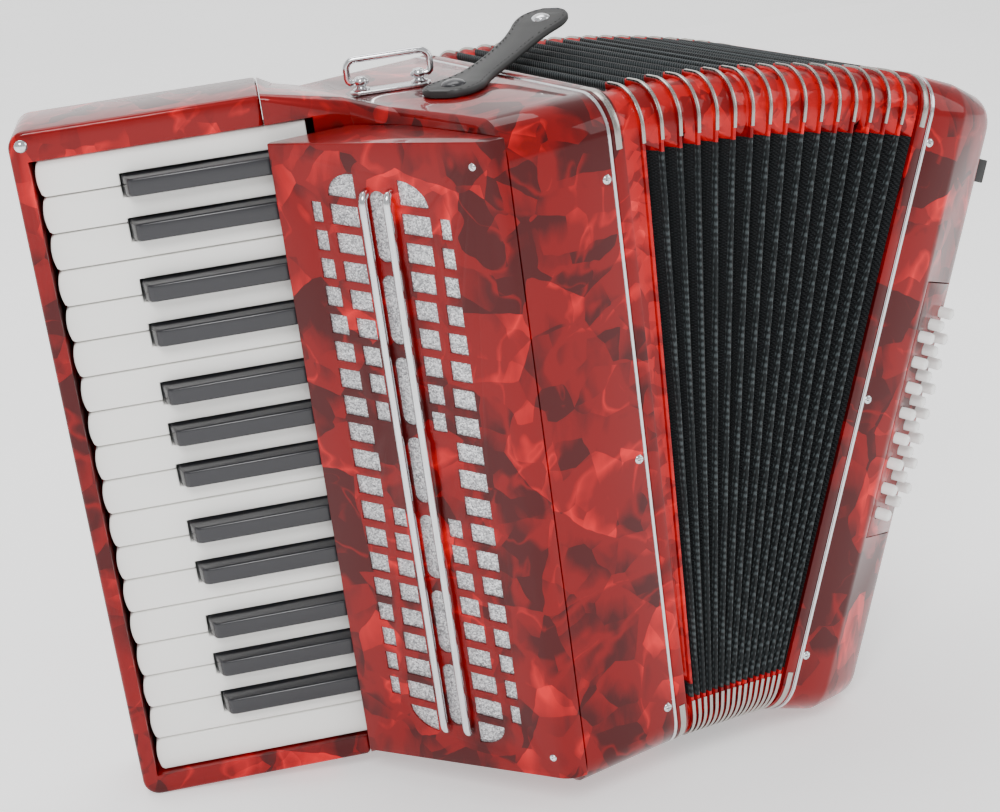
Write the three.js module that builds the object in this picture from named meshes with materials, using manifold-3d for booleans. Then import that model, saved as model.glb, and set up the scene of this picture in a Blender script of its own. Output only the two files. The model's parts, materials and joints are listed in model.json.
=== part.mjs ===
// A thirty-key, twenty-four-bass piano accordion standing half fanned open.
// Millimetres, +Z up. +X runs from the keyboard to the bass side and +Y to the back.
// Everything is drawn in the upright frame of the treble body and leaned over at the end.
import * as THREE from 'three';
import { mergeVertices } from 'three/addons/utils/BufferGeometryUtils.js';
import Module from 'manifold-3d';

const wasm = await Module();
wasm.setup();
const { Manifold, Mesh: SolidMesh } = wasm;

// ---- overall sizes ----
const keyPitch = 19;
const whiteCount = 18;
const keyboardLength = keyPitch * whiteCount;
const bodyHeight = keyboardLength + 15;
const bodyDepth = 205;
const cornerRadius = 20;
const fanAngle = THREE.MathUtils.degToRad(22.7);
const gap = 0.3;

// ---- treble side ----
const frontWallWidth = 57.6;
const wall = 7;
const plate = 10;
const keySlant = THREE.MathUtils.degToRad(22.3);
const keyLineX = -232;
const keyLineY = 0.78 * bodyDepth;
const keyBottomZ = 14.3;
const keyTopZ = keyBottomZ + keyboardLength;
const frameBottomZ = 2;
const frameTopZ = keyTopZ + 16;
const frameLeft = -10;
const frameFace = 4;
const frameBack = -48;
const frameCorner = 9;
const visibleKey = 113;
const casingStart = visibleKey + 1;

// ---- keys ----
const keyGap = 0.8;
const whiteThick = 16;
const whiteBulge = 2.4;
const keyTail = visibleKey + 21;
const blackWidth = 10.6;
const blackFront = 40.5;
const blackSlope = 2.6;
const blackHeight = 9.2;
const blackTopEnd = visibleKey + 1.5;
const axleAt = visibleKey + 14;
const axleDepth = 8;
const axleRadius = 1.5;
const keyDipRoom = 9;

// ---- grille ----
const coverStandoff = 15;
const coverWall = 3;
const coverBottom = 11;
const coverTop = bodyHeight - 7;
const coverCorner = 15;
const coverRound = 5;
const windowRows = 19;
const windowPitch = 14.55;
const windowHeight = 10.4;
const slotCount = 7;
const slotPitch = 42.6;
const slotLength = 36;
const slotWidth = 9;
const slotCentre = 58;
const outerEdge = 38;
const innerEdge = 12;
const windowWide = 15.5;
const windowNarrow = 5.5;
const rodRadius = 2.1;
const rodLift = 4;
const rodSpread = 13.4;

// ---- bellows ----
const frameThick = 6.7;
const frameBand = 12;
const foldCount = 17;
const sectionCount = 4;
const ridgesPerSection = 4;
const foldDepth = 13;
const clothThick = 2;
const bassOriginX = 62.2;
const bassOriginZ = -5.5;

// ---- bass side ----
const bassFrontBand = 33;
const bassBevelAngle = THREE.MathUtils.degToRad(28);
const bassBevelLength = 46;
const buttonRows = 8;
const buttonColumns = 3;
const buttonRowPitch = 14.4;
const buttonColumnPitch = 12.5;
const buttonStagger = 7;
const firstButtonAlong = 13.5;
const firstButtonZ = 0.333 * bodyHeight;
const buttonRadius = 3.2;
const buttonHeight = 7.5;

// ---- frames of reference ----
const up = new THREE.Vector3(0, 0, 1);
const keyAlong = new THREE.Vector3(Math.cos(keySlant), -Math.sin(keySlant), 0);
const keyOut = new THREE.Vector3(-Math.sin(keySlant), -Math.cos(keySlant), 0);
const keyOrigin = new THREE.Vector3(keyLineX, keyLineY, 0);

function keyPoint(along, out) {
  const p = keyOrigin.clone();
  p.addScaledVector(keyAlong, along);
  p.addScaledVector(keyOut, out);
  return p;
}

function frameMatrix(xAxis, yAxis, zAxis, origin) {
  const m = new THREE.Matrix4().makeBasis(xAxis, yAxis, zAxis);
  m.setPosition(origin);
  return m;
}

// key frame: x along the keys, y up the keyboard, z out of the key tops
const keyFrame = frameMatrix(keyAlong, up, keyOut, keyOrigin);
// key side frame: x along the keys, y out of the key tops, z down the keyboard
const keySideFrame = frameMatrix(keyAlong, keyOut, up.clone().negate(), keyOrigin);

// grille frame: x across the grille, y up, z out of its face
const grilleLeft = keyPoint(visibleKey + 0.5, coverStandoff);
const grilleCorner = new THREE.Vector3(-frontWallWidth - 9.4, 0, 0);
const grilleAcross = grilleCorner.clone().sub(grilleLeft).normalize();
const grilleOut = grilleAcross.clone().cross(up);
const grilleFrame = frameMatrix(grilleAcross, up, grilleOut, grilleLeft);
const grilleWidth = grilleCorner.distanceTo(grilleLeft);
const grilleMiddleZ = (coverBottom + coverTop) / 2;

// bass frame: the treble frame swung over about Y
const bassFrame = new THREE.Matrix4().makeRotationY(fanAngle);
bassFrame.setPosition(bassOriginX, 0, bassOriginZ);

// bevel frame: x across the bevelled face, y up, z out of it
const bevelAcross = new THREE.Vector3(Math.cos(bassBevelAngle), Math.sin(bassBevelAngle), 0);
const bevelOut = bevelAcross.clone().cross(up);
const bevelLocal = frameMatrix(bevelAcross, up, bevelOut, new THREE.Vector3(bassFrontBand, 0, 0));
const bevelFrame = bassFrame.clone().multiply(bevelLocal);
const bassWidth = bassFrontBand + bassBevelLength * Math.cos(bassBevelAngle);
const bassBevelDepth = bassBevelLength * Math.sin(bassBevelAngle);

// ---- solids ----
function strip(geometry) {
  const g = geometry.clone();
  g.deleteAttribute('normal');
  g.deleteAttribute('uv');
  return mergeVertices(g, 1e-5);
}

function toSolid(geometry) {
  const g = strip(geometry);
  const vertices = new Float32Array(g.attributes.position.array);
  const triangles = new Uint32Array(g.index.array);
  return new Manifold(new SolidMesh({ numProp: 3, vertProperties: vertices, triVerts: triangles }));
}

function toGeometry(solid) {
  const mesh = solid.getMesh();
  const g = new THREE.BufferGeometry();
  g.setAttribute('position', new THREE.BufferAttribute(new Float32Array(mesh.vertProperties), 3));
  g.setIndex(new THREE.BufferAttribute(new Uint32Array(mesh.triVerts), 1));
  return g;
}

function cut(geometry, ...tools) {
  let solid = toSolid(geometry);
  for (const tool of tools) {
    solid = solid.subtract(toSolid(tool));
  }
  return toGeometry(solid);
}

function join(geometry, ...others) {
  let solid = toSolid(geometry);
  for (const other of others) {
    solid = solid.add(toSolid(other));
  }
  return toGeometry(solid);
}

function box(x0, x1, y0, y1, z0, z1) {
  const g = new THREE.BoxGeometry(x1 - x0, y1 - y0, z1 - z0);
  g.translate((x0 + x1) / 2, (y0 + y1) / 2, (z0 + z1) / 2);
  return g;
}

function shapeOf(points) {
  return new THREE.Shape(points.map(([x, y]) => new THREE.Vector2(x, y)));
}

function prism(points, from, to, bevel = 0) {
  const g = new THREE.ExtrudeGeometry(shapeOf(points), {
    depth: to - from - 2 * bevel,
    bevelEnabled: bevel > 0,
    bevelThickness: bevel,
    bevelSize: bevel,
    bevelOffset: -bevel,
    bevelSegments: 2,
    steps: 1,
  });
  g.translate(0, 0, from + bevel);
  return g;
}

function rod(x, y, z0, z1, radius, sides) {
  const g = new THREE.CylinderGeometry(radius, radius, z1 - z0, sides);
  g.rotateX(Math.PI / 2);
  g.translate(x, y, (z0 + z1) / 2);
  return g;
}

function place(geometry, matrix) {
  const g = geometry.clone();
  g.applyMatrix4(matrix);
  return g;
}

// Corner points of a rounded rectangle, from the lower left and round to the left.
function roundedOutline(x0, x1, y0, y1, radius, steps) {
  const points = [];
  const centres = [
    [x1 - radius, y0 + radius, -Math.PI / 2],
    [x1 - radius, y1 - radius, 0],
    [x0 + radius, y1 - radius, Math.PI / 2],
    [x0 + radius, y0 + radius, Math.PI],
  ];
  for (const [cx, cy, start] of centres) {
    for (let i = 0; i <= steps; i += 1) {
      const a = start + (Math.PI / 2) * (i / steps);
      points.push([cx + radius * Math.cos(a), cy + radius * Math.sin(a)]);
    }
  }
  return points;
}

// A ring standing on the plan line from front to back, with rounded corners.
function ring(front, back, z0, z1, radius, steps = 4) {
  const across = back.clone().sub(front);
  const depth = across.length();
  across.normalize();
  return roundedOutline(0, depth, z0, z1, radius, steps).map(([d, z]) => {
    const p = front.clone().addScaledVector(across, d);
    p.z += z;
    return p;
  });
}

// Skin a run of rings into one closed body. With inner rings it becomes a tube.
function loft(outer, inner = null) {
  const positions = [];
  const index = [];
  const count = outer[0].length;
  const loops = inner ? [...outer, ...inner.slice().reverse()] : outer;
  for (const loop of loops) {
    for (const p of loop) {
      positions.push(p.x, p.y, p.z);
    }
  }
  const last = inner ? loops.length : loops.length - 1;
  for (let j = 0; j < last; j += 1) {
    const a = j * count;
    const b = ((j + 1) % loops.length) * count;
    for (let i = 0; i < count; i += 1) {
      const n = (i + 1) % count;
      index.push(a + i, b + i, b + n);
      index.push(a + i, b + n, a + n);
    }
  }
  if (!inner) {
    const end = (loops.length - 1) * count;
    for (let i = 1; i < count - 1; i += 1) {
      index.push(0, i, i + 1);
      index.push(end, end + i + 1, end + i);
    }
  }
  const g = new THREE.BufferGeometry();
  g.setAttribute('position', new THREE.BufferAttribute(new Float32Array(positions), 3));
  g.setIndex(index);
  return facingOut(g);
}

function facingOut(geometry) {
  const p = geometry.attributes.position;
  const index = geometry.index.array;
  const a = new THREE.Vector3();
  const b = new THREE.Vector3();
  const c = new THREE.Vector3();
  let volume = 0;
  for (let i = 0; i < index.length; i += 3) {
    a.fromBufferAttribute(p, index[i]);
    b.fromBufferAttribute(p, index[i + 1]);
    c.fromBufferAttribute(p, index[i + 2]);
    volume += a.dot(b.cross(c));
  }
  if (volume > 0) {
    return geometry;
  }
  const flipped = [];
  for (let i = 0; i < index.length; i += 3) {
    flipped.push(index[i], index[i + 2], index[i + 1]);
  }
  geometry.setIndex(flipped);
  return geometry;
}

// ---- materials and the assembly ----
const group = new THREE.Group();
group.name = 'piano_accordion';

const colours = {
  red: [0xb01218, 0.25, 0],
  darkRed: [0x8e1014, 0.4, 0],
  white: [0xf4f2ec, 0.3, 0],
  black: [0x141416, 0.3, 0],
  cloth: [0x16181a, 0.9, 0],
  leather: [0x101012, 0.55, 0],
  chrome: [0xc8ccd0, 0.2, 1],
  glitter: [0xb9bcc0, 0.6, 0.3],
  wood: [0xb08a5a, 0.7, 0],
};

function addNode(name, geometry, colour) {
  const [color, roughness, metalness] = colours[colour];
  const material = new THREE.MeshStandardMaterial({ color, roughness, metalness });
  const g = strip(geometry);
  g.computeVertexNormals();
  const mesh = new THREE.Mesh(g, material);
  mesh.name = name;
  group.add(mesh);
}

// ---- treble casing: skinned along from the bellows to the keyboard ----
const notchX = frontWallWidth + 2.4;
const casingFront = [
  new THREE.Vector3(0, 0, 0),
  new THREE.Vector3(-frontWallWidth, 0, 0),
  new THREE.Vector3(-notchX, 0.075 * bodyDepth, 0),
  new THREE.Vector3(-notchX - 11, 0.35 * bodyDepth, 0),
  new THREE.Vector3(-notchX - 27, 0.49 * bodyDepth, 0),
  keyPoint(casingStart, frameFace),
];
const casingBack = [
  new THREE.Vector3(0, bodyDepth, 0),
  new THREE.Vector3(-frontWallWidth, bodyDepth, 0),
  new THREE.Vector3(-notchX - 1, bodyDepth - 0.5, 0),
  new THREE.Vector3(-notchX - 14, bodyDepth - 4, 0),
  new THREE.Vector3(-notchX - 33, 0.92 * bodyDepth, 0),
  keyPoint(casingStart, frameBack),
];
const riseAtKeys = frameTopZ - bodyHeight;
const casingTops = [0, 0, 0, 0, 0.4, 1].map((t) => bodyHeight + t * riseAtKeys);
const casingBottoms = [0, 0, 0, 0, 0.5, frameBottomZ];
const casingRadii = [cornerRadius, cornerRadius, cornerRadius, 16, 9, 3.5];
const casingRings = [];
for (let i = 0; i < casingFront.length; i += 1) {
  const r = casingRadii[i];
  casingRings.push(ring(casingFront[i], casingBack[i], casingBottoms[i], casingTops[i], r));
}
const outsideFront = keyPoint(casingStart - 30, 60);
const outsideKeys = keyPoint(casingStart - 30, -whiteThick - keyDipRoom);
const insideKeys = keyPoint(keyTail + 5, -whiteThick - keyDipRoom);
const cavityPlan = [
  [5, wall],
  [-frontWallWidth + wall, wall],
  [-frontWallWidth + wall, wall + 8],
  [-frontWallWidth - 20, wall + 8],
  [outsideFront.x, outsideFront.y],
  [outsideKeys.x, outsideKeys.y],
  [insideKeys.x, insideKeys.y],
  [-notchX - 14, bodyDepth - 4 - 2 * wall],
  [5, bodyDepth - wall],
].reverse();
const cavity = prism(cavityPlan, plate, bodyHeight - plate);
const keyPocket = box(casingStart - 10, keyTail + 4, keyBottomZ - 0.6, keyTopZ + 0.6,
  -whiteThick - keyDipRoom, coverStandoff);
addNode('treble_casing', cut(loft(casingRings), cavity, place(keyPocket, keyFrame)), 'red');

// ---- keyboard frame: a tray with rails round three sides ----
function frameOutline() {
  const r = frameCorner;
  const points = [[casingStart - gap, frameBottomZ], [casingStart - gap, frameTopZ]];
  const corners = [
    [frameLeft + r, frameTopZ - r, Math.PI / 2],
    [frameLeft + r, frameBottomZ + r, Math.PI],
  ];
  for (const [cx, cy, start] of corners) {
    for (let i = 0; i <= 4; i += 1) {
      const a = start + (Math.PI / 2) * (i / 4);
      points.push([cx + r * Math.cos(a), cy + r * Math.sin(a)]);
    }
  }
  return points;
}
const frameBlank = prism(frameOutline(), frameBack, frameFace, 2.5);
const keyWell = box(-1.6, casingStart + 5, keyBottomZ - 0.6, keyTopZ + 0.6,
  -whiteThick - keyDipRoom, frameFace + 5);
const keyboardFrame = cut(frameBlank, keyWell);
addNode('keyboard_frame', place(keyboardFrame, keyFrame), 'red');

// ---- keys, lowest note at the top ----
const notes = ['g', 'a', 'b', 'c', 'd', 'e', 'f'];
const sharpShift = { g: 0.2, a: -3.8, c: 2.4, d: -2.4, f: 3.8 };
const whites = [];
const blacks = [];
let octave = 3;
for (let i = 0; i < whiteCount; i += 1) {
  const note = notes[i % notes.length];
  if (note === 'c') {
    octave += 1;
  }
  const top = keyTopZ - i * keyPitch;
  whites.push({ name: `key_${note}${octave}`, top, bottom: top - keyPitch });
  if (sharpShift[note] !== undefined && i < whiteCount - 1) {
    const middle = top - keyPitch + sharpShift[note];
    blacks.push({ name: `key_${note}${octave}_sharp`, middle });
  }
}
const axleHole = rod(axleAt, -axleDepth, -keyTopZ - 5, -keyBottomZ + 5, axleRadius + gap, 10);

for (const key of whites) {
  const low = key.bottom + keyGap / 2;
  const high = key.top - keyGap / 2;
  let tailLow = low;
  let tailHigh = high;
  for (const black of blacks) {
    const reach = blackWidth / 2 + keyGap;
    if (black.middle > key.bottom - keyPitch / 2 && black.middle < key.bottom + keyPitch / 2) {
      tailLow = Math.max(tailLow, black.middle + reach);
    }
    if (black.middle > key.top - keyPitch / 2 && black.middle < key.top + keyPitch / 2) {
      tailHigh = Math.min(tailHigh, black.middle - reach);
    }
  }
  const notch = blackFront - keyGap;
  const outline = [];
  const bulgeSteps = 6;
  for (let i = 0; i <= bulgeSteps; i += 1) {
    const t = i / bulgeSteps;
    const across = 2 * t - 1;
    outline.push([whiteBulge * across * across, high + (low - high) * t]);
  }
  outline.push([notch, low]);
  if (tailLow > low) {
    outline.push([notch, tailLow]);
  }
  outline.push([keyTail, tailLow], [keyTail, tailHigh]);
  if (tailHigh < high) {
    outline.push([notch, tailHigh]);
  }
  outline.push([notch, high]);
  const blank = place(prism(outline, -whiteThick, 0), keyFrame);
  addNode(key.name, cut(blank, place(axleHole, keySideFrame)), 'white');
}

for (const key of blacks) {
  const profile = [
    [blackFront, -whiteThick],
    [keyTail, -whiteThick],
    [keyTail, 0],
    [blackTopEnd + 3, 0],
    [blackTopEnd, blackHeight],
    [blackFront + blackSlope + 3, blackHeight],
    [blackFront + blackSlope, blackHeight - 1.2],
    [blackFront, 0],
  ];
  const half = blackWidth / 2;
  const blank = prism(profile, -key.middle - half, -key.middle + half, 0.9);
  addNode(key.name, place(cut(blank, axleHole), keySideFrame), 'black');
}

const axle = rod(axleAt, -axleDepth, -keyTopZ, -keyBottomZ, axleRadius, 10);
addNode('key_axle', place(axle, keySideFrame), 'chrome');

// ---- grille cover: a thin shell whose rounded corner runs into the front wall ----
const cornerTurn = Math.acos(-grilleOut.y);
const coverEdgeX = -frontWallWidth - 0.6;
const cornerShare = Math.tan(cornerTurn / 2);
const coverTurnRadius = Math.min(coverCorner, (coverEdgeX - 0.05 - grilleCorner.x) / cornerShare);
const cornerRun = coverTurnRadius * cornerShare;
const coverPlan = [];
coverPlan.push([grilleLeft.x, grilleLeft.y]);
const arcCentre = new THREE.Vector2(grilleCorner.x + cornerRun, coverTurnRadius);
for (let i = 0; i <= 6; i += 1) {
  const a = -Math.PI / 2 - cornerTurn * (1 - i / 6);
  const [x, y] = [Math.cos(a), Math.sin(a)].map((part) => part * coverTurnRadius);
  coverPlan.push([arcCentre.x + x, arcCentre.y + y]);
}
coverPlan.push([coverEdgeX, 0]);
const clearance = 0.8;
for (let i = 2; i < 5; i += 1) {
  coverPlan.push([casingFront[i].x - clearance, casingFront[i].y - clearance]);
}
const coverHeel = keyPoint(visibleKey + 2, coverStandoff - coverWall);
coverPlan.push([coverHeel.x, coverHeel.y]);

function insetLine(distance, from, to) {
  const start = grilleLeft.clone().addScaledVector(grilleAcross, from);
  const end = grilleLeft.clone().addScaledVector(grilleAcross, to);
  start.addScaledVector(grilleOut, -distance);
  end.addScaledVector(grilleOut, -distance);
  return [[start.x, start.y], [end.x, end.y]];
}
const [hollowStart, hollowEnd] = insetLine(coverWall, 6, grilleWidth - 10);
const hollowPlan = [
  hollowStart,
  hollowEnd,
  [-frontWallWidth - 6, 12],
  [-frontWallWidth - 6, 0.2 * bodyDepth],
  [-notchX + 20, 0.49 * bodyDepth + 20],
  [hollowStart[0] + 5, hollowStart[1] + 20],
];
const coverBlank = prism(coverPlan, coverBottom, coverTop, 0);
const coverHollow = prism(hollowPlan, coverBottom + coverWall, coverTop - coverWall);

// Windows: column sides lean so the outer columns bulge at mid height and the inner ones pinch.
function leanOf(z) {
  const t = (z - grilleMiddleZ) / ((windowRows * windowPitch) / 2);
  return 1 - Math.abs(t);
}
function windowAt(left, right, z, shear) {
  const half = windowHeight / 2;
  const points = [
    [left + shear, z - half],
    [right + shear, z - half],
    [right - shear, z + half],
    [left - shear, z + half],
  ];
  return prism(points, -coverWall - 4, coverRound);
}
const openings = [];
for (let row = 0; row < windowRows; row += 1) {
  const z = grilleMiddleZ + (row - (windowRows - 1) / 2) * windowPitch;
  const lean = leanOf(z);
  const outerWidth = windowNarrow + (windowWide - windowNarrow) * lean;
  openings.push(windowAt(slotCentre - outerEdge, slotCentre - outerEdge + outerWidth, z, 0));
  openings.push(windowAt(slotCentre + outerEdge - outerWidth, slotCentre + outerEdge, z, 0));
  const fromMiddle = Math.abs(row - (windowRows - 1) / 2);
  if (fromMiddle > 1.5 && fromMiddle < 9.5) {
    const innerWidth = windowWide - (windowWide - windowNarrow) * lean;
    openings.push(windowAt(slotCentre - innerEdge - innerWidth, slotCentre - innerEdge, z, 0));
    openings.push(windowAt(slotCentre + innerEdge, slotCentre + innerEdge + innerWidth, z, 0));
  }
}
for (const side of [-1, 1]) {
  for (const end of [-1, 1]) {
    const points = [];
    const base = grilleMiddleZ + end * (9.5 * windowPitch + 2);
    const inner = slotCentre + side * innerEdge;
    points.push([inner, base]);
    for (let i = 0; i <= 5; i += 1) {
      const a = (Math.PI / 2) * (i / 5);
      points.push([inner + side * 15.5 * Math.cos(a), base + end * 12.5 * Math.sin(a)]);
    }
    openings.push(prism(side * end > 0 ? points : points.reverse(), -coverWall - 4, coverRound));
  }
}
for (let i = 0; i < slotCount; i += 1) {
  const z = grilleMiddleZ + (i - (slotCount - 1) / 2) * slotPitch;
  const half = slotWidth / 2;
  const outline = roundedOutline(slotCentre - half, slotCentre + half,
    z - slotLength / 2, z + slotLength / 2, half - 0.01, 4);
  openings.push(prism(outline, -coverWall - 4, coverRound));
}
let coverSolid = toSolid(coverBlank).subtract(toSolid(coverHollow));
const placedOpenings = openings.map((opening) => toSolid(place(opening, grilleFrame)));
for (const opening of placedOpenings) {
  coverSolid = coverSolid.subtract(opening);
}
addNode('grille_cover', toGeometry(coverSolid), 'red');

const clothFront = -coverWall - gap;
const cloth = box(9, grilleWidth - 16, coverBottom + 8, coverTop - 8, clothFront - 1.2, clothFront);
addNode('grille_cloth', place(cloth, grilleFrame), 'glitter');

const rodHalf = 149;
for (const [name, side] of [['left', -1], ['right', 1]]) {
  const across = slotCentre + 0.7 + (side * rodSpread) / 2;
  const bar = new THREE.CylinderGeometry(rodRadius, rodRadius, 2 * rodHalf, 10);
  bar.translate(across, grilleMiddleZ - 2, rodLift);
  const pegs = [-1, 1].map((end) => {
    const z = grilleMiddleZ - 2 + end * (rodHalf - 6);
    return rod(across, z, 0.05, rodLift, rodRadius * 0.8, 8);
  });
  addNode(`grille_rod_${name}`, place(join(bar, ...pegs), grilleFrame), 'chrome');
}

// ---- bellows frames, folds and sections ----
function tiltedRing(x, z, angle, inset, radius) {
  const m = new THREE.Matrix4().makeRotationY(angle);
  m.setPosition(x, 0, z);
  const front = new THREE.Vector3(0, inset, 0);
  const back = new THREE.Vector3(0, bodyDepth - inset, 0);
  const points = ring(front, back, inset, bodyHeight - inset, radius, 3);
  return points.map((p) => p.applyMatrix4(m));
}
function bellowsFrame(x0, x1) {
  const outer = [x0, x1].map((x) => tiltedRing(x, 0, 0, 0, cornerRadius));
  const inner = [x0, x1].map((x) => tiltedRing(x, 0, 0, frameBand, cornerRadius - 8));
  return loft(outer, inner);
}
addNode('treble_bellows_frame', bellowsFrame(gap, gap + frameThick), 'red');
addNode('bass_bellows_frame', place(bellowsFrame(gap, gap + frameThick), bassFrame), 'red');

const bellowsStart = frameThick + 2 * gap;
function stationAt(fold) {
  const t = fold / foldCount;
  const x = bellowsStart + (bassOriginX - bellowsStart) * t;
  return { x, z: bassOriginZ * t, angle: fanAngle * t };
}
function bellowsRing(fold, inset, shift) {
  const s = stationAt(fold);
  const x = s.x + shift * Math.cos(s.angle);
  const z = s.z - shift * Math.sin(s.angle);
  return tiltedRing(x, z, s.angle, inset, Math.max(cornerRadius - inset, 4));
}
const sectionEnds = [0];
for (let i = 1; i < sectionCount; i += 1) {
  sectionEnds.push(i * ridgesPerSection + 0.5);
}
sectionEnds.push(foldCount);
for (let i = 0; i < sectionCount; i += 1) {
  const from = sectionEnds[i];
  const to = sectionEnds[i + 1];
  const outer = [];
  const inner = [];
  for (let fold = from; fold <= to + 0.01; fold += 0.5) {
    const ridge = Math.abs(fold - Math.round(fold)) < 0.1 && fold > 0.1 && fold < foldCount - 0.1;
    const inset = ridge ? 0.5 : foldDepth;
    let shift = 0;
    if (fold === from) {
      shift = gap / 2;
    }
    if (Math.abs(fold - to) < 0.01) {
      shift = -gap / 2;
    }
    outer.push(bellowsRing(fold, inset, shift));
    inner.push(bellowsRing(fold, foldDepth + clothThick, shift));
  }
  addNode(`bellows_section_${i + 1}`, loft(outer, inner), 'cloth');
}

// ---- bass casing: skinned from the bellows out to its flat side ----
const bassStart = frameThick + 2 * gap;
function bassRing(x, y0, y1, inset, radius) {
  return ring(new THREE.Vector3(x, y0, 0), new THREE.Vector3(x, y1, 0), inset, bodyHeight - inset, radius);
}
const bassRings = [
  bassRing(bassStart, 0, bodyDepth, 0, cornerRadius),
  bassRing(bassFrontBand, 0, bodyDepth, 0, cornerRadius),
  bassRing(bassWidth - 8, bassBevelDepth - 8 * Math.tan(bassBevelAngle), bodyDepth - 5, 2, 18),
  bassRing(bassWidth, bassBevelDepth, bodyDepth - 14, 8, 14),
];
const bassCavityPlan = [
  [0, wall],
  [bassFrontBand - 2, wall],
  [bassWidth - wall, bassBevelDepth + 4],
  [bassWidth - wall, bodyDepth - 20],
  [bassFrontBand, bodyDepth - wall],
  [0, bodyDepth - wall],
];
const bassCavity = prism(bassCavityPlan, plate + 4, bodyHeight - plate - 4);
const plateLow = firstButtonZ - 14;
const plateHigh = plateLow + buttonRows * buttonRowPitch + 30;
const plateLeft = 5;
const plateRight = bassBevelLength - 3;
const windowTool = box(plateLeft, plateRight, plateLow, plateHigh, -14, 4);
const airY = 0.8 * bodyDepth;
const airZ = 0.8 * bodyHeight;
const airStemRadius = 3;
const airThrow = 3;
const airBore = new THREE.CylinderGeometry(airStemRadius + gap, airStemRadius + gap, 30, 14);
airBore.rotateZ(Math.PI / 2);
airBore.translate(bassWidth, airY, airZ);
const bassBody = cut(loft(bassRings), bassCavity, place(windowTool, bevelLocal), airBore);
addNode('bass_casing', place(bassBody, bassFrame), 'red');

const buttonPlaces = [];
for (let row = 0; row < buttonRows; row += 1) {
  for (let column = 0; column < buttonColumns; column += 1) {
    const across = firstButtonAlong + column * buttonColumnPitch;
    const z = firstButtonZ + row * buttonRowPitch + column * buttonStagger;
    buttonPlaces.push({ row, column, across, z });
  }
}
const plateBlank = box(plateLeft + gap, plateRight - gap, plateLow + gap, plateHigh - gap, -3, 0);
const plateHoles = buttonPlaces.map((b) => rod(b.across, b.z, -6, 4, buttonRadius + 0.5, 10));
addNode('bass_button_plate', place(cut(plateBlank, ...plateHoles), bevelFrame), 'darkRed');

for (let row = 0; row < buttonRows; row += 1) {
  const own = buttonPlaces.filter((b) => b.row === row);
  const first = own[0];
  const end = own[own.length - 1];
  const slope = (end.z - first.z) / (end.across - first.across);
  const bar = prism([
    [first.across - 3, first.z - 3 * slope - 2.2],
    [end.across + 3, end.z + 3 * slope - 2.2],
    [end.across + 3, end.z + 3 * slope + 2.2],
    [first.across - 3, first.z - 3 * slope + 2.2],
  ], -12, -8.5);
  const buttons = own.map((b) => {
    const profile = [
      new THREE.Vector2(0, -9),
      new THREE.Vector2(buttonRadius, -9),
      new THREE.Vector2(buttonRadius, buttonHeight - 0.9),
      new THREE.Vector2(buttonRadius - 0.8, buttonHeight),
      new THREE.Vector2(0, buttonHeight),
    ];
    const g = new THREE.LatheGeometry(profile, 10);
    g.rotateX(Math.PI / 2);
    g.translate(b.across, b.z, 0);
    return g;
  });
  addNode(`bass_button_row_${row + 1}`, place(join(bar, ...buttons), bevelFrame), 'white');
}

// ---- reed blocks inside the two casings ----
const reedLow = 0.2 * bodyHeight;
const reedHigh = 0.8 * bodyHeight;
const trebleReeds = box(-42, -4, 0.3 * bodyDepth, 0.78 * bodyDepth, reedLow, reedHigh);
addNode('treble_reed_block', trebleReeds, 'wood');
const bassReeds = box(12, 44, 0.4 * bodyDepth, 0.8 * bodyDepth, reedLow, reedHigh);
addNode('bass_reed_block', place(bassReeds, bassFrame), 'wood');

// ---- hand strap on the flat bass side, with a thick tab at its upper end ----
const strapFront = 0.24 * bodyDepth;
const strapBack = 0.56 * bodyDepth;
const strapLow = 0.1 * bodyHeight;
const strapHigh = 0.9 * bodyHeight;
const strapSteps = 10;
const strapOuter = [];
const strapInner = [];
for (let i = 0; i <= strapSteps; i += 1) {
  const t = i / strapSteps;
  const z = strapLow + (strapHigh - strapLow) * t;
  const bow = 14 * Math.sin(Math.PI * t) ** 0.8;
  strapInner.push([bassWidth + gap + bow, z]);
  strapOuter.push([bassWidth + gap + 3 + bow, z]);
}
const strapProfile = [...strapInner, ...strapOuter.reverse()].reverse();
const strapBand = prism(strapProfile, -strapBack, -strapFront);
strapBand.rotateX(Math.PI / 2);
const tabLow = strapHigh - 13;
const strapTab = box(bassWidth + gap, bassWidth + 8, bassBevelDepth + 3, strapFront + 12, tabLow, strapHigh);
addNode('bass_strap', place(join(strapBand, strapTab), bassFrame), 'leather');

// ---- air button, whose stem runs through the flat bass side ----
const airProfile = [
  new THREE.Vector2(0, -wall - airThrow - 2),
  new THREE.Vector2(airStemRadius, -wall - airThrow - 2),
  new THREE.Vector2(airStemRadius, airThrow + gap),
  new THREE.Vector2(6, airThrow + gap),
  new THREE.Vector2(6, airThrow + 5),
  new THREE.Vector2(5, airThrow + 6.5),
  new THREE.Vector2(0, airThrow + 6.5),
];
const airButton = new THREE.LatheGeometry(airProfile, 14);
airButton.rotateZ(-Math.PI / 2);
airButton.translate(bassWidth, airY, airZ);
addNode('air_button', place(airButton, bassFrame), 'chrome');

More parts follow.
